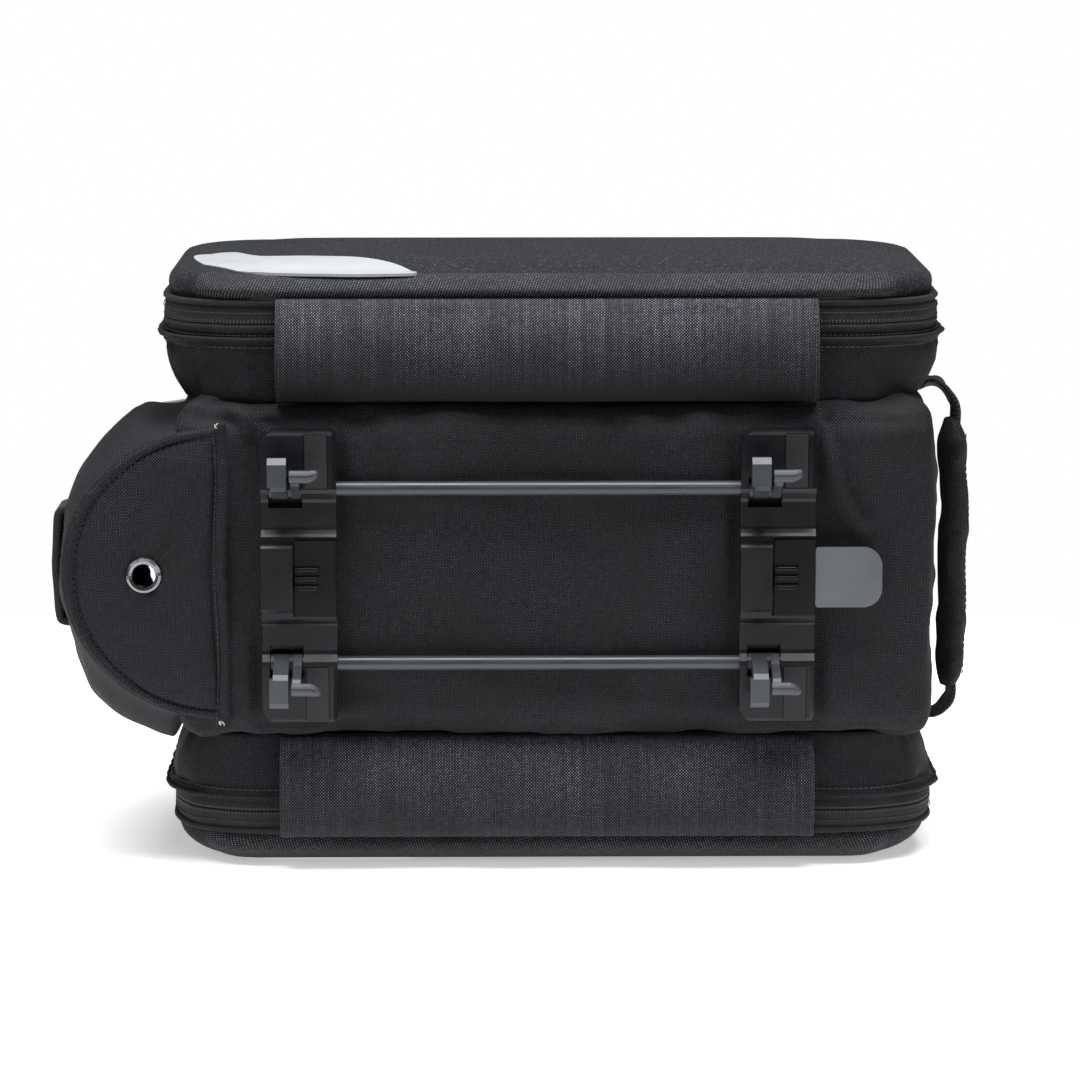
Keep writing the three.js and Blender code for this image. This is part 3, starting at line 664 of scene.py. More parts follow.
def zipper(side, prefix):
    """Both tapes, with a rib of coil teeth along each edge and a bound outer edge on the shell's tape."""
    wave = 0.9 * waves(RING_AT, 60, 21 + side) * (1 - RING_FRONT)
    base = -1.6 * RING_FRONT
    lower = [(base - 2.6, 110.6), (base - 1.6 + wave * 0.4, 112.8), (base - 0.4 + wave, 115.4),
             (base + wave, PARTING - 2.2), (base + 0.2 + wave, PARTING - 0.25)]
    upper = [(base + 0.2 + wave, PARTING + 0.25), (base + wave, PARTING + 2.2), (base + wave, 123.4),
             (base - 0.6 + wave, 126.6), (base - 1.8 + wave * 0.6, 129.4), (base - 3.0, 130.4)]
    for part, rows, body in (("gusset", lower, "bag"), ("shell", upper, prefix + "_cover")):
        ring_shell(f"{prefix}_tape_on_{part}", side, rows, 1.0, TAPE_TWILL, body, "zipper_tape",
                   f"{prefix}_zipper_tape_on_{part}")
        sign = -1 if part == "gusset" else 1
        coil(f"{prefix}_teeth_on_{part}", ring_line(base - 0.2 + wave, PARTING + sign * 1.15, side), RING_UP,
             body, 1.75, (1.1, 1.2, 2.0))
        sew(f"{prefix}_tape_stitching_{part}", ring_line(base + 0.25 + wave, PARTING + sign * 5.4, side),
            RING_UP, body, "zipper_tape", closed=True, pitch=2.6, length=2.0, width=0.6, height=0.5, seed=7)
    edge = ring_line(base - 1.2 + wave * 0.6, 129.7, side)
    binding = tube(prefix + "_tape_binding", edge, oval(3.0, 3.6, 10), (0, 0, 1), closed=True)
    dress(binding, TAPE_TWILL, prefix + "_cover", "zipper_tape")


LOW_DEPTH = 1.27
RIM_INSET = 19
SHELL_FOOT = 130.0
SHELL_THICK = 3.2
CROWN = {1: 4.6, -1: 0.6}
WALL_PROFILE = {
    1: [(-6.4, 129.6), (-4.6, 130.0), (-3.0, 131.8), (-2.4, 134.0), (-2.2, 136.2), (-2.4, 138.4),
        (-3.2, 140.4), (-5.0, 142.0), (-8.0, 142.9), (-12.5, 143.2), (-19, 143.0)],
    -1: [(-6.4, 129.6), (-4.6, 130.0), (-3.2, 131.6), (-3.3, 133.4), (-4.2, 135.4), (-6.0, 137.4),
         (-8.4, 139.2), (-11.2, 140.7), (-14.2, 141.9), (-17.0, 142.7), (-21, 143.0)]}
COVE_PROFILE = [(-6.4, 129.6), (-4.8, 130.2), (-3.1, 131.9), (-1.4, 133.8), (-0.5, 135.4), (-1.6, 137.1),
                (-4.4, 138.7), (-7.6, 140.3), (-10.8, 141.8), (-14.2, 142.7), (-19, 143.0)]
COMP_CENTRE = np.array([(COMP_LEFT + COMP_RIGHT) / 2, (COMP_FRONT + COMP_BACK) / 2])
COMP_HALF = np.array([COMP_RIGHT - COMP_LEFT, COMP_BACK - COMP_FRONT]) / 2


def shell(side, prefix):
    """The moulded shell: bulging ends, a scooped band along its front, a soft rim and a crowned top."""
    x, y = RING.T
    scoop = (smooth(x, COMP_LEFT + 11, COMP_LEFT + 29) * smooth(x, COMP_RIGHT - 15, COMP_RIGHT - 33)
             * smooth(y, COMP_FRONT + 30, COMP_FRONT + 12))
    fan = waves(RING_AT, 7, 31) * (1 - scoop) * scoop * 4
    deepen = 1 if side > 0 else LOW_DEPTH
    wall, cove = ([(offset, SHELL_FOOT + (out - SHELL_FOOT) * deepen) for offset, out in profile]
                  for profile in (WALL_PROFILE[side], COVE_PROFILE))
    top, crown = SHELL_FOOT + (SHELL[1][2] - SHELL_FOOT) * deepen, CROWN[side]
    rows = []
    for k, ((wo, wt), (co, ct)) in enumerate(zip(wall, cove)):
        ripple = 0.12 * fan if 2 < k < 8 else 0
        rows.append((wo + (co - wo) * scoop + ripple, wt + (ct - wt) * scoop))
    outer = list(ring_rows(rows, side))
    rim = ring_line(-RIM_INSET, top, side)
    for f in (0.93, 0.84, 0.72, 0.58, 0.42, 0.25, 0.08):
        xy = COMP_CENTRE + (rim[:, :2] - COMP_CENTRE) * f
        outer.append(np.column_stack([xy, np.full(len(xy), side * (top + crown * (1 - f**6)))]))
    for r in outer[4:]:
        r[:, 2] -= side * end_slump(r[:, 0]) * smooth(side * r[:, 2], 133, 142)
    inside = [np.column_stack([COMP_CENTRE + (r[:, :2] - COMP_CENTRE) * 0.975, r[:, 2] - side * SHELL_THICK])
              for r in outer[::-1]]
    inside[-1][:, 2] = outer[0][:, 2]
    piece, face_row = cast(prefix + "_shell_foam", outer, inside)
    dress(piece, SHELL_FOAM, prefix + "_cover", "moulded_foam", prefix + "_shell")
    piece.data.materials.append(COVE_CLOTH)
    piece.data.materials.append(LINING_CLOTH)
    index = np.zeros(len(piece.data.polygons), int)
    scooped = np.tile(scoop, len(outer) + len(inside))[: len(face_row)] > 0.25
    index[: len(face_row)][(face_row < 9) & scooped] = 1
    index[: len(face_row)][face_row >= len(outer)] = 2
    index[-1] = 2
    piece.data.polygons.foreach_set("material_index", index)
    reflective_patch(side, prefix, top, crown, wall)


def end_slump(x):
    """How far the shell's top rounds down towards the handle's end."""
    return 0.5 * smooth(x, COMP_RIGHT - 40, COMP_RIGHT + 6)


PATCH_RISE, PATCH_THICK = 0.35, 1.4


def reflective_patch(side, prefix, top, crown, wall):
    """A tapered band of reflective film that sweeps round the front left of the shell's top."""
    controls = [(-178, 96), (-170, 106), (-158, 99), (-143, 69), (-116, 59), (-92, 50), (-72, 31), (-66, 20),
                (-75, 16.5), (-108, 16), (-144, 22), (-164, 44), (-174, 70)]
    edge = spline(controls, 150, closed=True)
    gx, gy = np.meshgrid(np.arange(-190, -60, 5.0), np.arange(10, 155, 5.0))
    loose = np.column_stack([gx.ravel(), gy.ravel()])
    clear = np.linalg.norm(loose[:, None] - edge[None], axis=2).min(1) > 2.6
    every = [Vector(p) for p in np.vstack([edge, loose[clear]]).tolist()]
    flat, _, faces, *_ = delaunay_2d_cdt(every, [], [list(range(len(edge)))], 1, 1e-6)
    xy = np.array([tuple(p) for p in flat])
    offset, out = np.array(wall[5:]).T
    away = xy - COMP_CENTRE
    core = COMP_HALF - COMP_CORNER
    inset = COMP_CORNER - np.linalg.norm(away - np.clip(away, -core, core), axis=1)
    shares = np.linspace(0.02, 1, 200)[:, None, None]
    past = np.linalg.norm(away - np.clip(away, -core * shares, core * shares), axis=2)
    spread = shares[(past <= (COMP_CORNER - RIM_INSET) * shares[..., 0]).argmax(0), 0, 0]
    rise = np.where(inset > RIM_INSET, crown * (1 - spread**6), np.interp(inset, -offset, out - top))
    upper = np.column_stack([xy, side * (top + rise + PATCH_RISE)])
    points = np.vstack([upper, upper - [0, 0, side * PATCH_THICK]])
    n = len(upper)
    quads = [[a, b, b + n, a + n] for a, b in boundary(faces)]
    faces = [list(f) for f in faces] + [[i + n for i in f][::-1] for f in faces] + quads
    uv = [(points[i][0] * MM, points[i][1] * MM) for f in faces for i in f]
    piece = new_piece(prefix + "_reflective_patch", points, faces, uv, shade_smooth=False)
    dress(piece, REFLECTIVE, prefix + "_cover", "reflective")


def boundary(faces):
    """The directed edges that only one face has."""
    edges = {}
    for f in faces:
        for a, b in zip(f, [*f[1:], f[0]]):
            if edges.pop((b, a), None) is None:
                edges[(a, b)] = True
    return list(edges)


FLAP_PROFILE = {
    1: [(9.5, 82.2), (4.0, 83.6), (-1.2, 87), (-3.8, 92), (-4.9, 98), (-5.0, 104), (-4.2, 110), (-2.6, 116),
        (-0.2, 121.6), (3.0, 126.4), (6.0, 130), (8.4, 131.8)],
    -1: [(10.5, 82.4), (7.6, 84), (4.2, 87.6), (0.8, 92.6), (-1.6, 98.6), (-3.2, 105.5), (-4.0, 113),
         (-3.6, 120), (-1.6, 126), (2.4, 130.4), (6.5, 131.8)]}
FLAP_THICK = 1.6


def hinge_flap(side, prefix):
    """The hemmed flap across the front, sewn to the tub and to the shell."""
    x = np.linspace(*FLAP_X, 150)
    curve = spline(FLAP_PROFILE[side], 56)
    xx, k = np.meshgrid(x, np.arange(len(curve)))
    y, out = curve[:, 0][k], curve[:, 1][k]
    at = np.stack([xx, y, out], -1)
    edge = np.minimum(xx - FLAP_X[0], FLAP_X[1] - xx)
    free = smooth(out, 83, 92) * smooth(-out, -131, -124)
    y = y - 0.9 * waves(at * [1, 0, 0.35], 60, 41 + side) * free - 0.35 * waves(at, 18, 43 + side) * free
    y = y - 0.55 * (edge < 7) + 0.9 * bump(edge, 8.0, 1.0) - 0.4 * bump(edge, 1.2, 1.2)
    outer = np.stack([xx, y, side * out], -1)
    flap = layered(prefix + "_flap_cloth", outer, outer + [0, FLAP_THICK, 0])
    # Each flap takes the cloth whose painted light gradient suits its side.
    flap.data.materials.append(FLAP_CLOTH_PAINTED_LIGHT if side > 0 else LOW_FLAP_CLOTH_PAINTED_LIGHT)
    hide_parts(prefix + "_hinge_flap")
    bend = [flap]
    for end, at_x in (("left", FLAP_X[0] + 2.4), ("right", FLAP_X[1] - 2.4)):
        column = np.argmin(abs(x - at_x))
        row = stitch_line(f"{prefix}_flap_stitching_{end}", outer[3:-3, column] - [0, 0.1, 0], (0, -1, 0),
                          pitch=2.6, length=1.9, width=0.6, height=0.5, seed=12)
        row.data.materials.append(THREAD)
        bend.append(row)
    for p in bend:
        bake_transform(p)


def stowed_pannier(side, prefix):
    """The pannier folded away in its compartment: three soft folds of cloth with a bound edge."""
    low, high = bag_box(prefix + "_stowed_pannier")
    near, far = (low[2], high[2]) if side > 0 else (high[2], low[2])
    x0, x1, y0, y1 = low[0] + 2, high[0] - 2, low[1] + 2, high[1] - 2
    rows = []
    middle = np.array([(x0 + x1) / 2, (y0 + y1) / 2, 0])
    t = np.linspace(0, 2 * math.pi, 120, endpoint=False)
    outline = np.stack([np.sign(np.cos(t)) * np.abs(np.cos(t)) ** 0.3,
                        np.sign(np.sin(t)) * np.abs(np.sin(t)) ** 0.3], 1)
    for depth in np.linspace(0, 1, 25):
        fold = 2.2 * abs(math.sin(depth * 3 * math.pi)) - 3
        xy = outline * [(x1 - x0) / 2 + fold, (y1 - y0) / 2 + fold] + middle[:2]
        rows.append(np.column_stack([xy, np.full(120, near + (far - near) * (0.04 + 0.88 * depth))]))
    last = rows[-1]
    for f in (0.9, 0.7, 0.4, 0.1):
        inner = middle + (last - middle) * [f, f, 1]
        inner[:, 2] += side * (0.6 * (1 - f) + 0.7 * waves(inner, 55, 51))
        rows.append(inner)
    piece = grid_piece(prefix + "_folded_pannier", np.array(rows), wrap_columns=True, cap_rows=True)
    dress(piece, POCKET_CLOTH, "bag", "fabric", prefix + "_stowed_pannier")


def side_compartment(side, prefix):
    gusset(side, prefix)
    zipper(side, prefix)
    shell(side, prefix)
    hinge_flap(side, prefix)
    stowed_pannier(side, prefix)


side_compartment(1, "upper")
side_compartment(-1, "lower")

# ------------------------------------------------------------------ padded cloth


SWELL_FRAMES = 20


def applied(piece, kind, **settings):
    """Adds a modifier with its settings and applies it."""
    bpy.context.view_layer.objects.active = piece
    modifier = piece.modifiers.new(kind.lower(), kind)
    for key, value in settings.items():
        setattr(modifier, key, value)
    bpy.ops.object.modifier_apply(modifier=modifier.name)


def smoothed(piece):
    piece.data.polygons.foreach_set("use_smooth", [True] * len(piece.data.polygons))


def puff(piece, cap, pressure=4.0, voxel=0.005, hold=None):
    """Swells a closed mesh with Cloth, moves no point further than cap millimetres, and smooths it once.

    hold gives each point of the remeshed piece from 0, free, to 1, held still, from its bag millimetres.
    """
    applied(piece, "REMESH", mode="VOXEL", voxel_size=voxel)
    start = vertices(piece)
    held = np.zeros(len(start)) if hold is None else np.clip(hold((start - ORIGIN) / MM), 0, 1)
    group = piece.vertex_groups.new(name="held")
    for i in np.nonzero(held > 0.02)[0]:
        group.add([int(i)], float(held[i]), "REPLACE")
    cloth_modifier = piece.modifiers.new("cloth", "CLOTH")
    settings = cloth_modifier.settings
    settings.use_pressure = True
    settings.uniform_pressure_force = pressure
    settings.effector_weights.gravity = 0
    settings.quality = 4
    settings.tension_stiffness = 12
    settings.bending_stiffness = 0.6
    settings.vertex_group_mass = "held"
    cloth_modifier.collision_settings.use_collision = False
    cloth_modifier.point_cache.frame_start = 1
    cloth_modifier.point_cache.frame_end = SWELL_FRAMES
    for f in range(1, SWELL_FRAMES + 1):
        bpy.context.scene.frame_set(f)
    bpy.ops.object.modifier_apply(modifier=cloth_modifier.name)
    bpy.context.scene.frame_set(1)
    moved = vertices(piece) - start
    far = np.linalg.norm(moved, axis=1)
    limit = cap * MM * (1 - held)
    scale = np.where(far > 1e-9, np.minimum(1, limit / np.maximum(far, 1e-9)), 0)
    set_vertices(piece, start + moved * scale[:, None])
    piece.vertex_groups.clear()
    applied(piece, "SUBSURF", levels=1, render_levels=1)
    smoothed(piece)


def read(elements, key, width, kind=np.float32):
    """One row of values for each of a mesh's elements."""
    values = np.empty(len(elements) * width, kind)
    elements.foreach_get(key, values)
    return values.reshape(-1, width)


def vertices(piece):
    return read(piece.data.vertices, "co", 3).astype(float)


def set_vertices(piece, points):
    piece.data.vertices.foreach_set("co", np.asarray(points, np.float32).ravel())
    piece.data.update()


def shaped(piece, change):
    """Moves the piece's points by change(points, normals), all in bag millimetres."""
    normals = read(piece.data.vertex_normals, "vector", 3).astype(float)
    set_vertices(piece, to_frame(change((vertices(piece) - ORIGIN) / MM, normals)))


def box_uv(piece):
    """Metric uv from whichever side each face looks to, so that a weave runs straight on every panel."""
    mesh = piece.data
    axis = np.abs(read(mesh.polygons, "normal", 3)).argmax(1)
    axis = np.repeat(axis, read(mesh.polygons, "loop_total", 1, np.int32)[:, 0])
    at = vertices(piece)[read(mesh.loops, "vertex_index", 1, np.int32)[:, 0]]
    uv = at[np.arange(len(at))[:, None], np.array([[1, 2], [0, 2], [0, 1]])[axis]]
    layer = mesh.uv_layers.get("UVMap") or mesh.uv_layers.new(name="UVMap")
    layer.data.foreach_set("uv", uv.astype(np.float32).ravel())
    return piece


def rounded_box(name, low, high, radius, step):
    """A box with rounded edges and even quads."""
    low, high = np.array(low, float), np.array(high, float)
    size = high - low
    cells = np.maximum(3, np.round(size / step)).astype(int)
    work = bmesh.new()
    index = {}

    def vert(i, j, k):
        key = (i, j, k)
        if key not in index:
            p = low + size * np.array([i / cells[0], j / cells[1], k / cells[2]])
            index[key] = work.verts.new(p)
        return index[key]

    for axis in range(3):
        a, b = [x for x in range(3) if x != axis]
        for end in (0, cells[axis]):
            for i in range(cells[a]):
                for j in range(cells[b]):
                    quad = []
                    for di, dj in ((0, 0), (1, 0), (1, 1), (0, 1)):
                        at = [0, 0, 0]
                        at[axis], at[a], at[b] = end, i + di, j + dj
                        quad.append(vert(*at))
                    work.faces.new(quad)
    mesh = bpy.data.meshes.new(name)
    bmesh.ops.recalc_face_normals(work, faces=work.faces)
    work.to_mesh(mesh)
    work.free()
    piece = add_object(name, mesh)
    p = vertices(piece)
    inner = np.clip(p, low + radius, high - radius)
    far = np.linalg.norm(p - inner, axis=1)[:, None]
    p = np.where(far > radius, inner + (p - inner) / np.maximum(far, 1e-9) * radius, p)
    set_vertices(piece, to_frame(p))
    return piece


# ------------------------------------------------------------------ tub

BRACKETS = [bag_box("left_bracket"), bag_box("right_bracket")]
MOUNT_REACH = BRACKETS[0][1][2]
DEEPEST_FOLD = 2.6
TUB_WALL = 6.5


def distance_to_line(x, z, line):
    """Distance in the mount face's plane to a polyline, and a sign for the side a point is on."""
    best, side = np.full(x.shape, 1e9), np.ones(x.shape)
    for (ax, az), (bx, bz) in zip(line[:-1], line[1:]):
        dx, dz = bx - ax, bz - az
        t = np.clip(((x - ax) * dx + (z - az) * dz) / (dx * dx + dz * dz), 0, 1)
        ex, ez = x - ax - t * dx, z - az - t * dz
        d = np.hypot(ex, ez)
        near = d < best
        side = np.where(near, np.sign(dx * ez - dz * ex), side)
        best = np.minimum(best, d)
    return best, side


def tub():
    """One padded cloth body, open on the lid's side: swollen panels, folds, and flat under the mount."""
    low = (-TUB_END, 0.4, -TUB_HALF)
    high = (TUB_END, TUB_RIM - 0.4, TUB_HALF)
    piece = rounded_box("tub_cloth", low, high, 8.5, 4.6)

    def hold(p):
        under_mount = smooth(-p[:, 1], -9, -4) * (np.abs(p[:, 2]) < MOUNT_REACH + 2)
        rim = smooth(p[:, 1], TUB_RIM - 16, TUB_RIM - 8)
        return np.maximum(under_mount * 0.97, rim)

    puff(piece, 3.2, hold=hold)

    def drape(p, n):
        x, y, z = p.T
        face = smooth(-y, -12, -3)
        plate = np.zeros(len(p))
        for b in BRACKETS:
            inside = smooth(x, b[0][0] - 7, b[0][0] - 1) * smooth(-x, -b[1][0] - 7, -b[1][0] - 1)
            plate = np.maximum(plate, inside * smooth(-abs(z), -MOUNT_REACH - 7, -MOUNT_REACH - 1))
        free = face * (1 - plate)
        depth = np.zeros(len(p))
        board = smooth(-abs(z), -80, -64) * smooth(-abs(x), -178, -150)
        depth += 1.5 * board * free * (1 - bump(z, 0, 34) * 0.35)
        depth += 1.3 * free * waves(p, 85, 61) + 0.6 * free * waves(p, 30, 62)
        edge = bump(abs(z), 74, 9) * free
        depth += 1.5 * edge * waves(p * [1, 0, 0.3], 26, 63)
        near, beyond = distance_to_line(x, z, [(126, 84), (135, 64), (142, 40), (149, 26)])
        outside = 2.4 * bump(near, 5, 5) * (beyond < 0)
        depth += face * (outside - 2.8 * bump(near, 0, 2.6) + 1.2 * bump(near, 0, 14))
        for line, ridges in (([(-176, 83), (-150, 79), (-138, 66)], ((2.6, 0, 4), (-1.8, 6, 3.4))),
                             ([(-158, 84), (-146, 70)], ((2.0, 0, 3.4), (-1.2, 5, 3))),
                             ([(160, -82), (148, -62), (128, -50)], ((1.0, 0, 7),))):
            near, _ = distance_to_line(x, z, line)
            depth += face * sum(height * bump(near, middle, width) for height, middle, width in ridges)
        below_rim = smooth(-y, -TUB_RIM, -TUB_RIM + 25)
        ruck = waves(p, 60, 64) + 0.5 * waves(p, 20, 65) + 0.6 * bump(x, TUB_END, 30)
        depth += (1 - face) * ruck * below_rim
        moved = p + n * np.maximum(depth, -DEEPEST_FOLD)[:, None]
        moved[:, 1] = np.where(plate * face > 0.3, np.maximum(moved[:, 1], 0.25), moved[:, 1])
        moved[:, 2] = np.clip(moved[:, 2], -TUB_HALF - 1.5, TUB_HALF + 1.5)
        return moved

    shaped(piece, drape)
    dress(piece, BODY_CLOTH, "bag", "fabric", "base_panel", "upper_side_wall", "lower_side_wall",
          "pocket_end_wall", "handle_end_wall")
    hollow(piece)
    box_uv(piece)


def hollow(piece):
    """Cuts the luggage space out of the tub with a soft-cornered block, open towards the lid."""
    x, z = TUB_END - TUB_WALL, TUB_HALF - TUB_WALL
    block = rounded_box("tub_hollow", (-x, TUB_WALL + 1, -z), (x, TUB_RIM + 30, z), 6, 12)
    block.data.materials.append(LINING_CLOTH)
    applied(piece, "BOOLEAN", operation="DIFFERENCE", solver="EXACT", material_mode="TRANSFER", object=block)
    bpy.data.objects.remove(block)
    smoothed(piece)


tub()


for side, name in ((1, "upper"), (-1, "lower")):
    x = np.linspace(-TUB_END + 9, TUB_END - 9, 120)
    rim_line = np.column_stack([x, np.full(120, TUB_RIM - 3.5), np.full(120, side * (TUB_HALF + 0.5))])
    sew(f"rim_stitching_{name}", rim_line, (0, 0, side), seed=14)

# ------------------------------------------------------------------ lid


def lid_outline(inset, corner):
    low, high = LID[0][[0, 2]] + inset, LID[1][[0, 2]] - inset
    return rectangle(low, high, corner, 260, (low[0] + high[0]) / 2, 16)


def rect_rows(points, normals, profile):
    rows = []
    for offset, y in profile:
        p = points + normals * np.broadcast_to(offset, len(points))[:, None]
        rows.append(in_plane(p, y))
    return np.array(rows)


LID_THICK = 4.2


def lid():
    """The moulded lid: soft-edged foam with a raised panel, its mesh lining, and the zipper round its rim."""
    outline, normal = lid_outline(1, 16)
    rim, crown = LID[0][1], LID[1][1]
    profile = [(-4, rim), (-0.5, rim), (0, rim + 1), (0.6, rim + 6), (0.5, rim + 11), (-0.6, rim + 15.5),
               (-2.8, rim + 19), (-6.5, rim + 21.4), (-12, crown - 1.5), (-18, crown - 0.9),
               (-21, crown - 1.5), (-24, crown - 1.4), (-27, crown - 0.5)]
    rows = []
    for offset, y in profile:
        if offset > -12:
            rows += list(rect_rows(outline, normal, [(offset, y)]))
        else:
            rows += list(rect_rows(*lid_outline(1 - offset, 8), [(0, y)]))
    centre = np.array([(LID[0][0] + LID[1][0]) / 2, 0, 0])
    last = rows[-1]
    for f in (0.93, 0.82, 0.66, 0.48, 0.28, 0.08):
        inner = centre + (last - centre) * [f, 1, f]
        inner[:, 1] = crown - 0.4 + 0.9 * (1 - f * f) + 0.2 * waves(inner, 70, 71)
        rows.append(inner)
    inside = [centre + (r - centre) * [0.978, 1, 0.95] for r in rows[2:][::-1]]
    for r in inside:
        r[:, 1] = np.maximum(r[:, 1] - LID_THICK, rim + 0.3)
    piece, _ = cast("lid_foam_shell", rows, inside)
    dress(piece, LID_FOAM, "lid", "moulded_foam", "lid_shell")
    lid_zipper(outline, normal)
    lid_hinge()
    paint("lid_mesh_lining", MESH_LINING)


def lid_zipper(outline, normal):
    tape_y = [bag_box("lid_zipper_tape_on_tub"), bag_box("lid_zipper_tape_on_lid")]
    part = (tape_y[0][1][1] + tape_y[1][0][1]) / 2
    for where, body, y0, y1, sign in (("tub", "bag", tape_y[0][0][1] - 4, part - 0.2, -1),
                                      ("lid", "lid", part + 0.2, tape_y[1][1][1] + 1, 1)):
        ys = np.linspace(y0, y1, 5)
        out = [(0.4 - 0.5 * abs(k - 2), y) for k, y in enumerate(ys)]
        back = [(o - 1.0, y) for o, y in out[::-1]]
        rows = rect_rows(outline, normal, [*out, *back])
        tape = grid_piece(f"lid_tape_on_{where}", rows, wrap_rows=True, wrap_columns=True)
        dress(tape, TAPE_TWILL, body, "zipper_tape", f"lid_zipper_tape_on_{where}")
        coil(f"lid_teeth_on_{where}", rect_rows(outline, normal, [(0.7, part + sign * 1.2)])[0],
             in_plane(normal), body, 1.8, (1.2, 1.2, 2.2))


def in_plane(rows, y=0):
    """Points or directions in the mount face's plane, put in space at the depth y."""
    return np.column_stack([rows[:, 0], np.broadcast_to(y, len(rows)), rows[:, 1]])


def lid_hinge():
    """The cloth strip that the lid turns on."""
    low, high = bag_box("lid_hinge_flap")
    z = np.linspace(low[2], high[2], 60)
    bow = ((0.4, low[1]), (0.6, 196), (1.3, 203), (0.6, 209), (-0.6, 216))
    run = spline([(low[0] + dx, y) for dx, y in bow], 30)
    zz, k = np.meshgrid(z, np.arange(len(run)))
    outer = np.stack([run[:, 0][k], run[:, 1][k], zz], -1)
    flap = layered("lid_hinge_cloth", outer, outer - [1.3, 0, 0])
    # Painted light: the flap cloth's faded thread-top colour runs along this strip too.
    flap.data.materials.append(FLAP_CLOTH_PAINTED_LIGHT)
    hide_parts("lid_hinge_flap")
    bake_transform(flap)


def paint(node, material, bevel=0.0, segments=2):
    """Gives a CAD node that stays its material, and softens its edges if bevel is over 0."""
    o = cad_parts[node]
    o.data.materials.clear()
    o.data.materials.append(material)
    if bevel:
        flat = o.modifiers.new("flat", "DECIMATE")
        flat.decimate_type = "DISSOLVE"
        flat.angle_limit = math.radians(1.5)
        edge = o.modifiers.new("edge", "BEVEL")
        edge.width = bevel * MM
        edge.segments = segments
        edge.limit_method = "ANGLE"
        edge.angle_limit = math.radians(32)
        edge.harden_normals = True
        smoothed(o)


lid()

# ------------------------------------------------------------------ bottle pocket

POCKET_PAD = bag_box("pocket_bottom")
POCKET_SEAM = POCKET_PAD[1][0]
POCKET_DEPTH = POCKET_SEAM - POCKET_PAD[0][0]
POCKET_HALF = POCKET_PAD[1][2]
POCKET_WALL = bag_box("pocket_wall")
POCKET_TOP = POCKET_WALL[1][1]
HEM = bag_box("pocket_elastic_hem")
EYELET = bag_box("drain_eyelet")
EYELET_X = (EYELET[0][0] + EYELET[1][0]) / 2
EYELET_HOLE = 7.2
POCKET_SPREAD = POCKET_HALF * 1.045


def half_oval(count, grow=0.0, stop=None):
    """The pocket's curved edge from its upper end round to its lower end, as x, out points and normals."""
    reach = 90 if stop is None else math.degrees(math.acos(min(1, (POCKET_SEAM - stop) / POCKET_DEPTH)))
    t = np.radians(np.linspace(180 - reach, 180 + reach, 200))
    line = np.column_stack([POCKET_SEAM + POCKET_DEPTH * np.cos(t), POCKET_SPREAD * np.sin(t)])
    line = evenly(line, count)
    normal = np.column_stack([(line[:, 0] - POCKET_SEAM) / POCKET_DEPTH**2, line[:, 1] / POCKET_SPREAD**2])
    normal /= np.linalg.norm(normal, axis=1)[:, None]
    return line + normal * grow, normal


def pocket_bottom():
    """The D-shaped bottom: a soft pad with a sunk seam inside its edge and a hole for the eyelet."""
    curve, _ = half_oval(150)
    flat = np.column_stack([np.full(70, POCKET_SEAM), np.linspace(-POCKET_SPREAD, POCKET_SPREAD, 72)[1:-1]])
    edge = np.vstack([curve, flat])
    hub = np.array([EYELET_X, 0.0])
    angle = np.arctan2(edge[:, 1], edge[:, 0] - hub[0])
    hole = hub + EYELET_HOLE * np.column_stack([np.cos(angle), np.sin(angle)])
    length = np.linalg.norm(edge - hole, axis=1)
    rows, back = [], []
    for inset in (None, 60, 45, 34, 26, 20, 15, 11.5, 9, 7.2, 6, 5.2, 4.4, 3.4, 2.4, 1.4, 0.6, 0):
        f = np.zeros(len(edge)) if inset is None else np.clip(1 - inset / length, 0.02, 1)
        xy = hole + (edge - hole) * f[:, None]
        rest = length * (1 - f)
        y = -2.4 - 1.6 * smooth(rest, 5, 22) * smooth(length * f, 0, 16)
        y += 2.3 * bump(rest, 5.6, 1.3) + 2.6 * smooth(-rest, -2.2, 0)
        at = in_plane(xy)
        soft = smooth(rest, 4, 14) * smooth(length * f, 2, 12)
        y -= soft * (0.7 * waves(at, 40, 81) + 0.25 * waves(at, 14, 82))
        near, _ = distance_to_line(xy[:, 0], xy[:, 1], [(-180, 42), (-191, 26), (-200, 10)])
        y -= soft * 1.3 * bump(near, 0, 3.5) - 0.6 * soft * bump(near, 6, 4)
        rows.append(in_plane(xy, y))
        back.append(in_plane(xy, -0.1))
    piece = grid_piece("pocket_bottom_cloth", np.array([*rows, *back[::-1]]), True, True)
    dress(box_uv(piece), POCKET_CLOTH, "bag", "fabric", "pocket_bottom")
    seam, _ = half_oval(160, -5.6)
    line = in_plane(seam, -1.2)
    sew("pocket_seam_stitching", line, (0, -1, 0), pitch=3.2, width=0.6, height=0.5, seed=15)


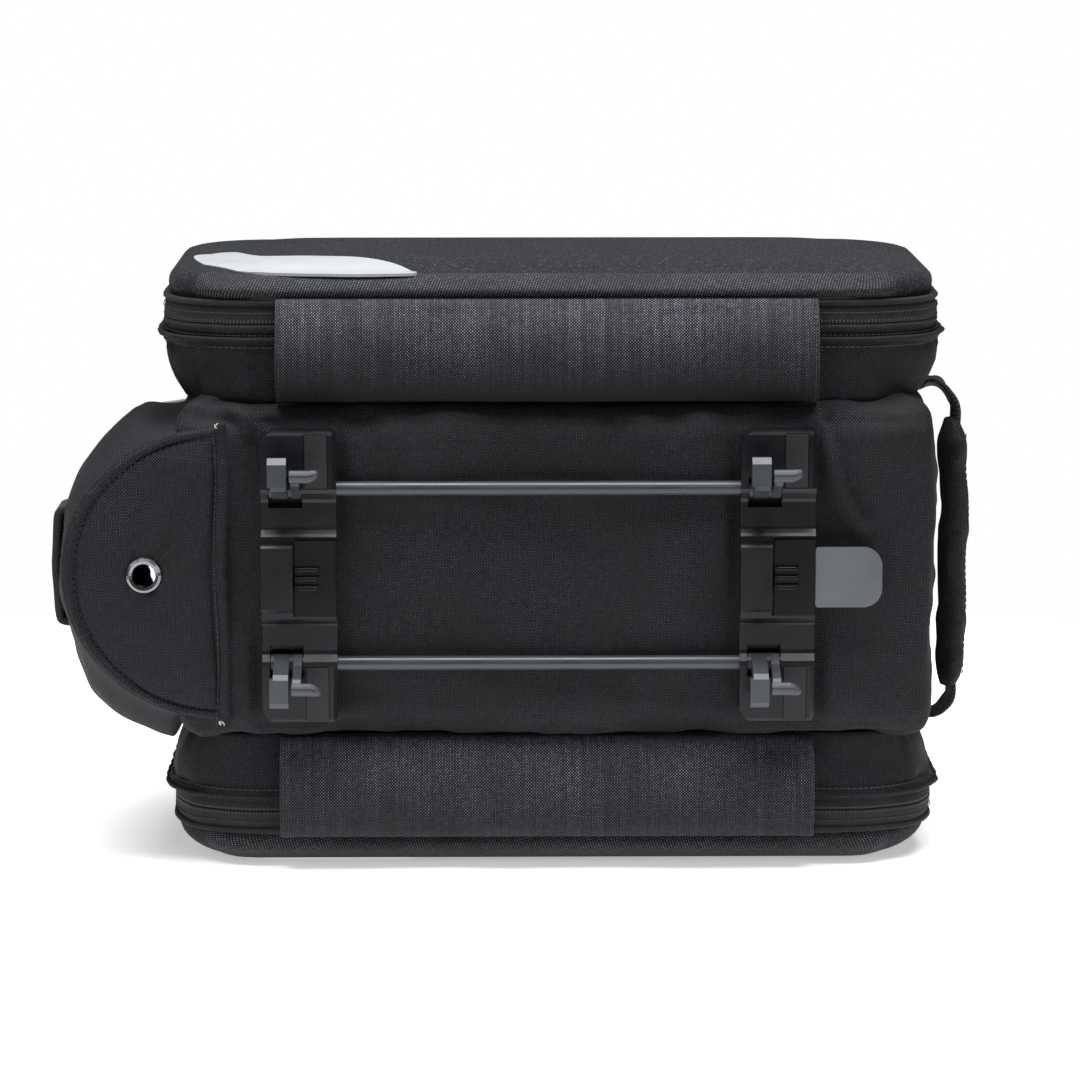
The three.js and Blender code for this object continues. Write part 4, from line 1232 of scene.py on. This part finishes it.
def pocket_piping():
    """The piped fold along the pocket's straight side, with its stitches and loose thread ends."""
    z = np.linspace(-POCKET_SPREAD - 2, POCKET_SPREAD + 2, 120)
    at = np.column_stack([z * 0, z * 0, z])
    line = np.column_stack([POCKET_SEAM + 0.6 + 0.9 * waves(at, 70, 83), np.full(120, -1.3), z])
    swell = 1 + 0.1 * waves(at, 9, 84)
    section = oval(4.6, 5.4, 12)[None] * swell[:, None, None]
    dress(tube("pocket_side_piping", line, section, (0, -1, 0)), POCKET_CLOTH, "bag", "fabric")
    sew("pocket_piping_stitching", line + [-3.4, -1.4, 0], (0, -1, 0), width=0.6, height=0.5, seed=16)
    for end, sign in (("upper", 1), ("lower", -1)):
        rng = np.random.default_rng(85 + sign)
        for k in range(3):
            root = np.array([POCKET_SEAM + rng.uniform(-2.5, -0.5), -3.6, sign * POCKET_SPREAD])
            tip = root + [rng.uniform(-1.6, 1.6), -0.5, sign * rng.uniform(0.6, 2.4)]
            middle = (root + tip) / 2 + [rng.uniform(-0.8, 0.8), -0.9, 0]
            strand = spline([root, middle, tip], 10)
            thread = tube(f"thread_end_{end}_{k}", strand, oval(0.45, 0.45, 6), (0, -1, 0))
            dress(thread, PALE_THREAD, "bag", "fabric")


UPPER_SAG, LOWER_SAG, HEM_DRAW = 9.6, 18.5, 13.5


def wall_at(line, normal, offset, y):
    """Points of the slack wall: it sags out above and below the bottom panel, and least where it is sewn."""
    held = smooth(POCKET_WALL[1][0] - line[:, 0], 0, 24)
    lean = line[:, 1] / POCKET_SPREAD
    slack = smooth(y, 0, 30) * (1 - 0.28 * smooth(y, 100, POCKET_TOP))
    end = 2.4 * slack - HEM_DRAW * smooth(y, 106, 150)
    p = line + normal * (offset * (0.3 + 0.7 * held) + end * (1 - lean**2))[:, None]
    sag = np.sign(lean) * smooth(abs(lean), 0.0, 0.8)
    drop = LOWER_SAG * smooth(POCKET_WALL[1][0] - line[:, 0], -8, 3)
    z = p[:, 1] + sag * slack * np.where(lean > 0, UPPER_SAG * held, drop)
    return np.column_stack([p[:, 0], np.full(len(p), float(y)), z])


def pocket_wall():
    """The wall: slack and rounded at its foot, drawn in towards its elastic hem."""
    stop = POCKET_WALL[1][0] + 3
    line, normal = half_oval(170, 0.0, stop)
    top = POCKET_TOP
    profile = [(-1.6, -2.4), (-0.6, -1.0), (1.0, 0.2), (3.2, 1.2), (6.5, 2.0), (11, 2.6), (18, 3.2),
               (28, 3.6), (40, 3.6), (54, 3.3), (68, 2.8), (82, 2.2), (96, 1.4), (108, 0.2), (118, -1.6),
               (126, -3.6), (134, -7.4), (141, -9.4), (146, -10.6), (top - 0.5, -11.6)]
    outer, inner = [], []
    for y, offset in profile:
        at = in_plane(line, y)
        fold = smooth(y, 0, 20) * smooth(-y, -top, -top + 30)
        grow = offset + fold * (1.9 * waves(at * [1, 0.5, 1], 48, 86) + 0.6 * waves(at, 16, 87))
        outer.append(wall_at(line, normal, grow, y))
        inner_row = wall_at(line, normal, grow - 2.6, y)
        inner_row[:, 0] = np.minimum(inner_row[:, 0], stop)
        inner.append(inner_row)
    piece = layered("pocket_wall_cloth", outer, inner)
    dress(piece, POCKET_CLOTH, "bag", "fabric", "pocket_wall")
    return line, normal


GATHERS, HEM_THICK = 34, 2.2


def pocket_bands(line, normal):
    """The gathered elastic hem, the reflective piping and the loop for a rear light."""
    held = smooth(POCKET_WALL[1][0] - line[:, 0], 0, 16)
    long = np.linspace(0, 1, len(line))
    gather = 0.7 * np.sin(long * 2 * math.pi * GATHERS) * held
    foot, top = HEM[0][1], HEM[1][1]
    outer = [wall_at(line, normal, offset + gather * share, y) for offset, y, share in (
        (-11.6, foot, 0.3), (-10.8, foot + 1, 0.7), (-10.6, foot + 4.8, 1), (-11.0, top - 1, 0.8),
        (-12.0, top, 0.4))]
    hem = layered("pocket_hem", outer, [row - in_plane(normal) * HEM_THICK for row in outer])
    dress(hem, STRAP, "bag", "webbing", "pocket_elastic_hem")
    low, high = bag_box("pocket_reflective_piping")
    y = (low[1] + high[1]) / 2
    bead = wall_at(line, normal, np.interp(y, (96, 108, 118, 126), (2.8, 1.8, 0.0, -2.0)), y)
    dress(tube("pocket_piping_bead", bead, oval(2.0, 3.0, 8), in_plane(normal)), PIPING_FILM, "bag",
          "reflective", "pocket_reflective_piping")
    low, high = bag_box("pocket_light_loop")
    y, z = (low[1:] + high[1:]) / 2
    half = (high[2] - low[2]) / 2
    arm = [(8.0, 1), (4.6, 0.99), (1.8, 0.9), (0.8, 0.4)]
    path = [*[(out, -share) for out, share in arm], (0.2, 0), *arm[::-1]]
    run = spline([(low[0] + 3.5 + out, y, z + half * share) for out, share in path], 60)
    strap = tube("pocket_loop_strap", run, round_section(3.4, high[1] - low[1], 1.0), (-1, 0, 0))
    dress(strap, STRAP, "bag", "webbing", "pocket_light_loop")


pocket_bottom()
pocket_piping()
pocket_bands(*pocket_wall())

# ------------------------------------------------------------------ carry handle

GRIP = bag_box("handle_grip")
TIE = bag_box("handle_webbing")
SLEEVE_RADIUS = 4.9
HANDLE_LEAN = math.radians(11)
HANDLE_FLAT = np.array([-math.sin(HANDLE_LEAN), math.cos(HANDLE_LEAN), 0])


def handle_sleeve(centre, half, flat):
    """The padded sleeve: lumpy, a little bowed, and gathered at both ends, with a row of stitches."""
    z = np.linspace(-half + 0.5, half - 0.5, 90)
    p = np.column_stack([z * 0, z * 0, z])
    lump = 1 + 0.09 * waves(p, 26, 91) + 0.05 * waves(p, 10, 92)
    inset = half - np.abs(z)
    end = np.minimum(1, inset / 9).clip(0.04, 1) ** 0.5
    bow = 2.72 * (1 - (z / half) ** 2)
    line = np.column_stack([centre[0] - 2.6 + bow, np.full(len(z), centre[1]), centre[2] + z])
    line[:, 0] += 0.7 * waves(p, 40, 93)
    t = np.arange(22) * 2 * math.pi / 22
    wide = (GRIP[1][1] - GRIP[0][1]) / 2
    around = np.stack([SLEEVE_RADIUS * np.cos(t), wide * np.sign(np.sin(t)) * np.abs(np.sin(t)) ** 0.85], 1)
    gather = 1 + 0.16 * np.sin(t * 7)[None, :] * (1 - smooth(inset, 2, 15))[:, None]
    section = around[None] * (lump * (0.55 + 0.45 * end))[:, None, None] * gather[..., None]
    section[..., 1] *= (0.72 + 0.28 * smooth(inset, 0, 16))[:, None]
    sleeve = grid_piece("handle_sleeve", swept(line, section, np.cross(flat, [0, 0, 1])), wrap_rows=True,
                        cap_columns=True)
    puff(sleeve, 1.5, pressure=3.0, voxel=0.003)
    box_uv(sleeve)
    dress(sleeve, POCKET_CLOTH, "carry_handle", "fabric", "handle_grip")
    seam = line[6:-6] + flat * (-wide * 0.62) + [4.4, 0, 0]
    sew("handle_stitching", seam, (1, 0, 0), "carry_handle", pitch=3.2, seed=17)


def handle_straps(centre, half, flat):
    """The strap's two ends, from inside the sleeve to the tub's end wall."""
    for name, sign, top in (("upper", 1, TIE[1][2]), ("lower", -1, TIE[0][2])):
        reach = half * sign + centre[2]
        path = [(centre[0] - 1, 0, reach - sign * 12), (centre[0], 1, reach + sign * 2),
                (centre[0] - 3, 5, top - sign * 4), (TUB_END + 6.5, 12, top + sign * 0.2),
                (TUB_END + 1, 22, top - sign * 0.5), (TUB_END - 5, 30, top - sign * 3)]
        run = spline([(x, centre[1] + y, out) for x, y, out in path], 60)
        away = np.cross(np.gradient(run, axis=0), flat)
        strap = tube(f"handle_strap_{name}", run, round_section(2.2, 13, 0.9), away)
        strap.data.materials.append(STRAP)
        if sign > 0:
            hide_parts("handle_webbing")
        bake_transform(strap)


HANDLE = (GRIP[0] + GRIP[1]) / 2, (GRIP[1][2] - GRIP[0][2]) / 2, HANDLE_FLAT
handle_sleeve(*HANDLE)
handle_straps(*HANDLE)

# ------------------------------------------------------------------ mount and hardware


def thumb_ribs(end):
    """Three raised, rounded grip ribs on the release slider's face."""
    low, high = bag_box(end + "_release_slider")
    wide = high[0] - low[0]
    middle = (low[2] + high[2]) / 2
    for k, rise in enumerate((-4.6, 0, 4.6)):
        x = np.linspace(low[0] + 0.05 * wide, low[0] + 0.56 * wide, 24)
        taper = np.minimum(1, np.minimum(x - x[0], x[-1] - x) / 1.1 + 0.15) ** 0.5
        line = np.column_stack([x, np.full(24, low[1] + 0.1), np.full(24, middle + rise)])
        rib = tube(f"{end}_slider_rib_{k}", line, oval(1.5, 2.2, 12)[None] * taper[:, None, None], (0, -1, 0))
        dress(rib, SLIDER_NYLON, end + "_release", "nylon")


for end in ("left", "right"):
    thumb_ribs(end)
    paint(end + "_bracket", NYLON, 0.7, 3)
    paint(end + "_release_slider", SLIDER_NYLON, 0.45)
    for level in ("upper", "lower"):
        paint(f"{end}_{level}_hook", HOOK_NYLON, 0.6, 3)
        paint(f"{end}_{level}_grip_pad", RUBBER, 0.4)
        paint(f"{end}_{level}_screw", STEEL, 0.2)
paint("upper_hook_rod", ROD_METAL, 0.3)
paint("lower_hook_rod", ROD_METAL, 0.3)
paint("pull_tab", TAB_PLASTIC, 0.35, 3)
paint("drain_eyelet", GUNMETAL, 0.25)
paint("release_return_spring", STEEL)
paint("base_stiffener_board", BOARD, 0.3)
for level in ("upper", "lower"):
    for part in ("slider", "pull"):
        paint(f"lid_zipper_{part}_{level}", ZIP_METAL, 0.25)
        paint(f"{level}_zipper_{part}", ZIP_METAL, 0.25)

# ------------------------------------------------------------------ floor, light and camera


FLOOR_RADIUS, FLOOR_DROP = 0.68, 0.0044
WORLD_STRENGTH = 0.11


def studio():
    """A pale floor under a broad soft light from above and two weak ones in front."""
    mesh = bpy.data.meshes.new("studio_floor")
    t = np.linspace(0, 2 * math.pi, 96, endpoint=False)
    rim = np.column_stack([FLOOR_RADIUS * np.cos(t), FLOOR_RADIUS * np.sin(t) - 0.05, 0 * t - FLOOR_DROP])
    mesh.from_pydata(rim.tolist(), [], [list(range(96))])
    s = Shader("studio_floor")
    mesh.materials.append(s.finish(s.ramp(s.noise(s.place(), 3.0, 2.0), (0.3, 0.93), (0.7, 0.95)), 0.9,
                                   Emission_Color=(1, 1, 1), Emission_Strength=0.4))
    add_object("studio_floor", mesh)
    world = bpy.data.worlds.new("studio")
    bpy.context.scene.world = world
    world.use_nodes = True
    background = world.node_tree.nodes["Background"].inputs
    background["Color"].default_value = (1, 1, 1, 1)
    background["Strength"].default_value = WORLD_STRENGTH
    backdrop()
    aim = (0, 0, 0.14)
    for name, place, size, power in (("key", (0.0, -0.35, 1.9), (2.0, 1.1), 74),
                                     ("front_left", (-1.7, -1.5, 1.1), (0.9, 1.2), 9),
                                     ("front_right", (1.8, -1.3, 0.9), (0.8, 1.2), 7)):
        light = bpy.data.lights.new(name, "AREA")
        light.shape = "RECTANGLE"
        light.size, light.size_y = size
        light.energy = power
        lamp = add_object(name, light)
        lamp.location = place
        lamp.rotation_euler = (Vector(place) - Vector(aim)).to_track_quat("Z", "Y").to_euler()


def backdrop():
    """A white dome that only the camera sees, so that the background is white and the light stays soft."""
    mesh = bpy.data.meshes.new("studio_backdrop")
    work = bmesh.new()
    bmesh.ops.create_uvsphere(work, u_segments=48, v_segments=24, radius=20)
    work.to_mesh(mesh)
    work.free()
    dome = add_object("studio_backdrop", mesh)
    dome.visible_diffuse = dome.visible_glossy = dome.visible_shadow = False
    dome.visible_transmission = dome.visible_volume_scatter = False
    mesh.materials.append(Shader("studio_backdrop").finish(
        (0, 0, 0), 1.0, Emission_Color=(1, 1, 1), Emission_Strength=1.0, Specular_IOR_Level=0.0))


def camera():
    """A long lens a little above the bag, square to its mount face."""
    distance, azimuth, elevation = 1.95, math.radians(-0.7), math.radians(10)
    back = Vector((math.sin(azimuth) * math.cos(elevation), -math.cos(azimuth) * math.cos(elevation),
                   math.sin(elevation)))
    data = bpy.data.cameras.new("camera")
    data.lens = 135.2
    data.sensor_width = 36
    shot = add_object("camera", data)
    shot.location = Vector(to_frame((-7.1, 0, 16.4))) + back * distance
    shot.rotation_mode = "QUATERNION"
    shot.rotation_quaternion = back.to_track_quat("Z", "Y")
    bpy.context.scene.camera = shot


studio()
camera()
bpy.context.scene.view_settings.view_transform = "Standard"
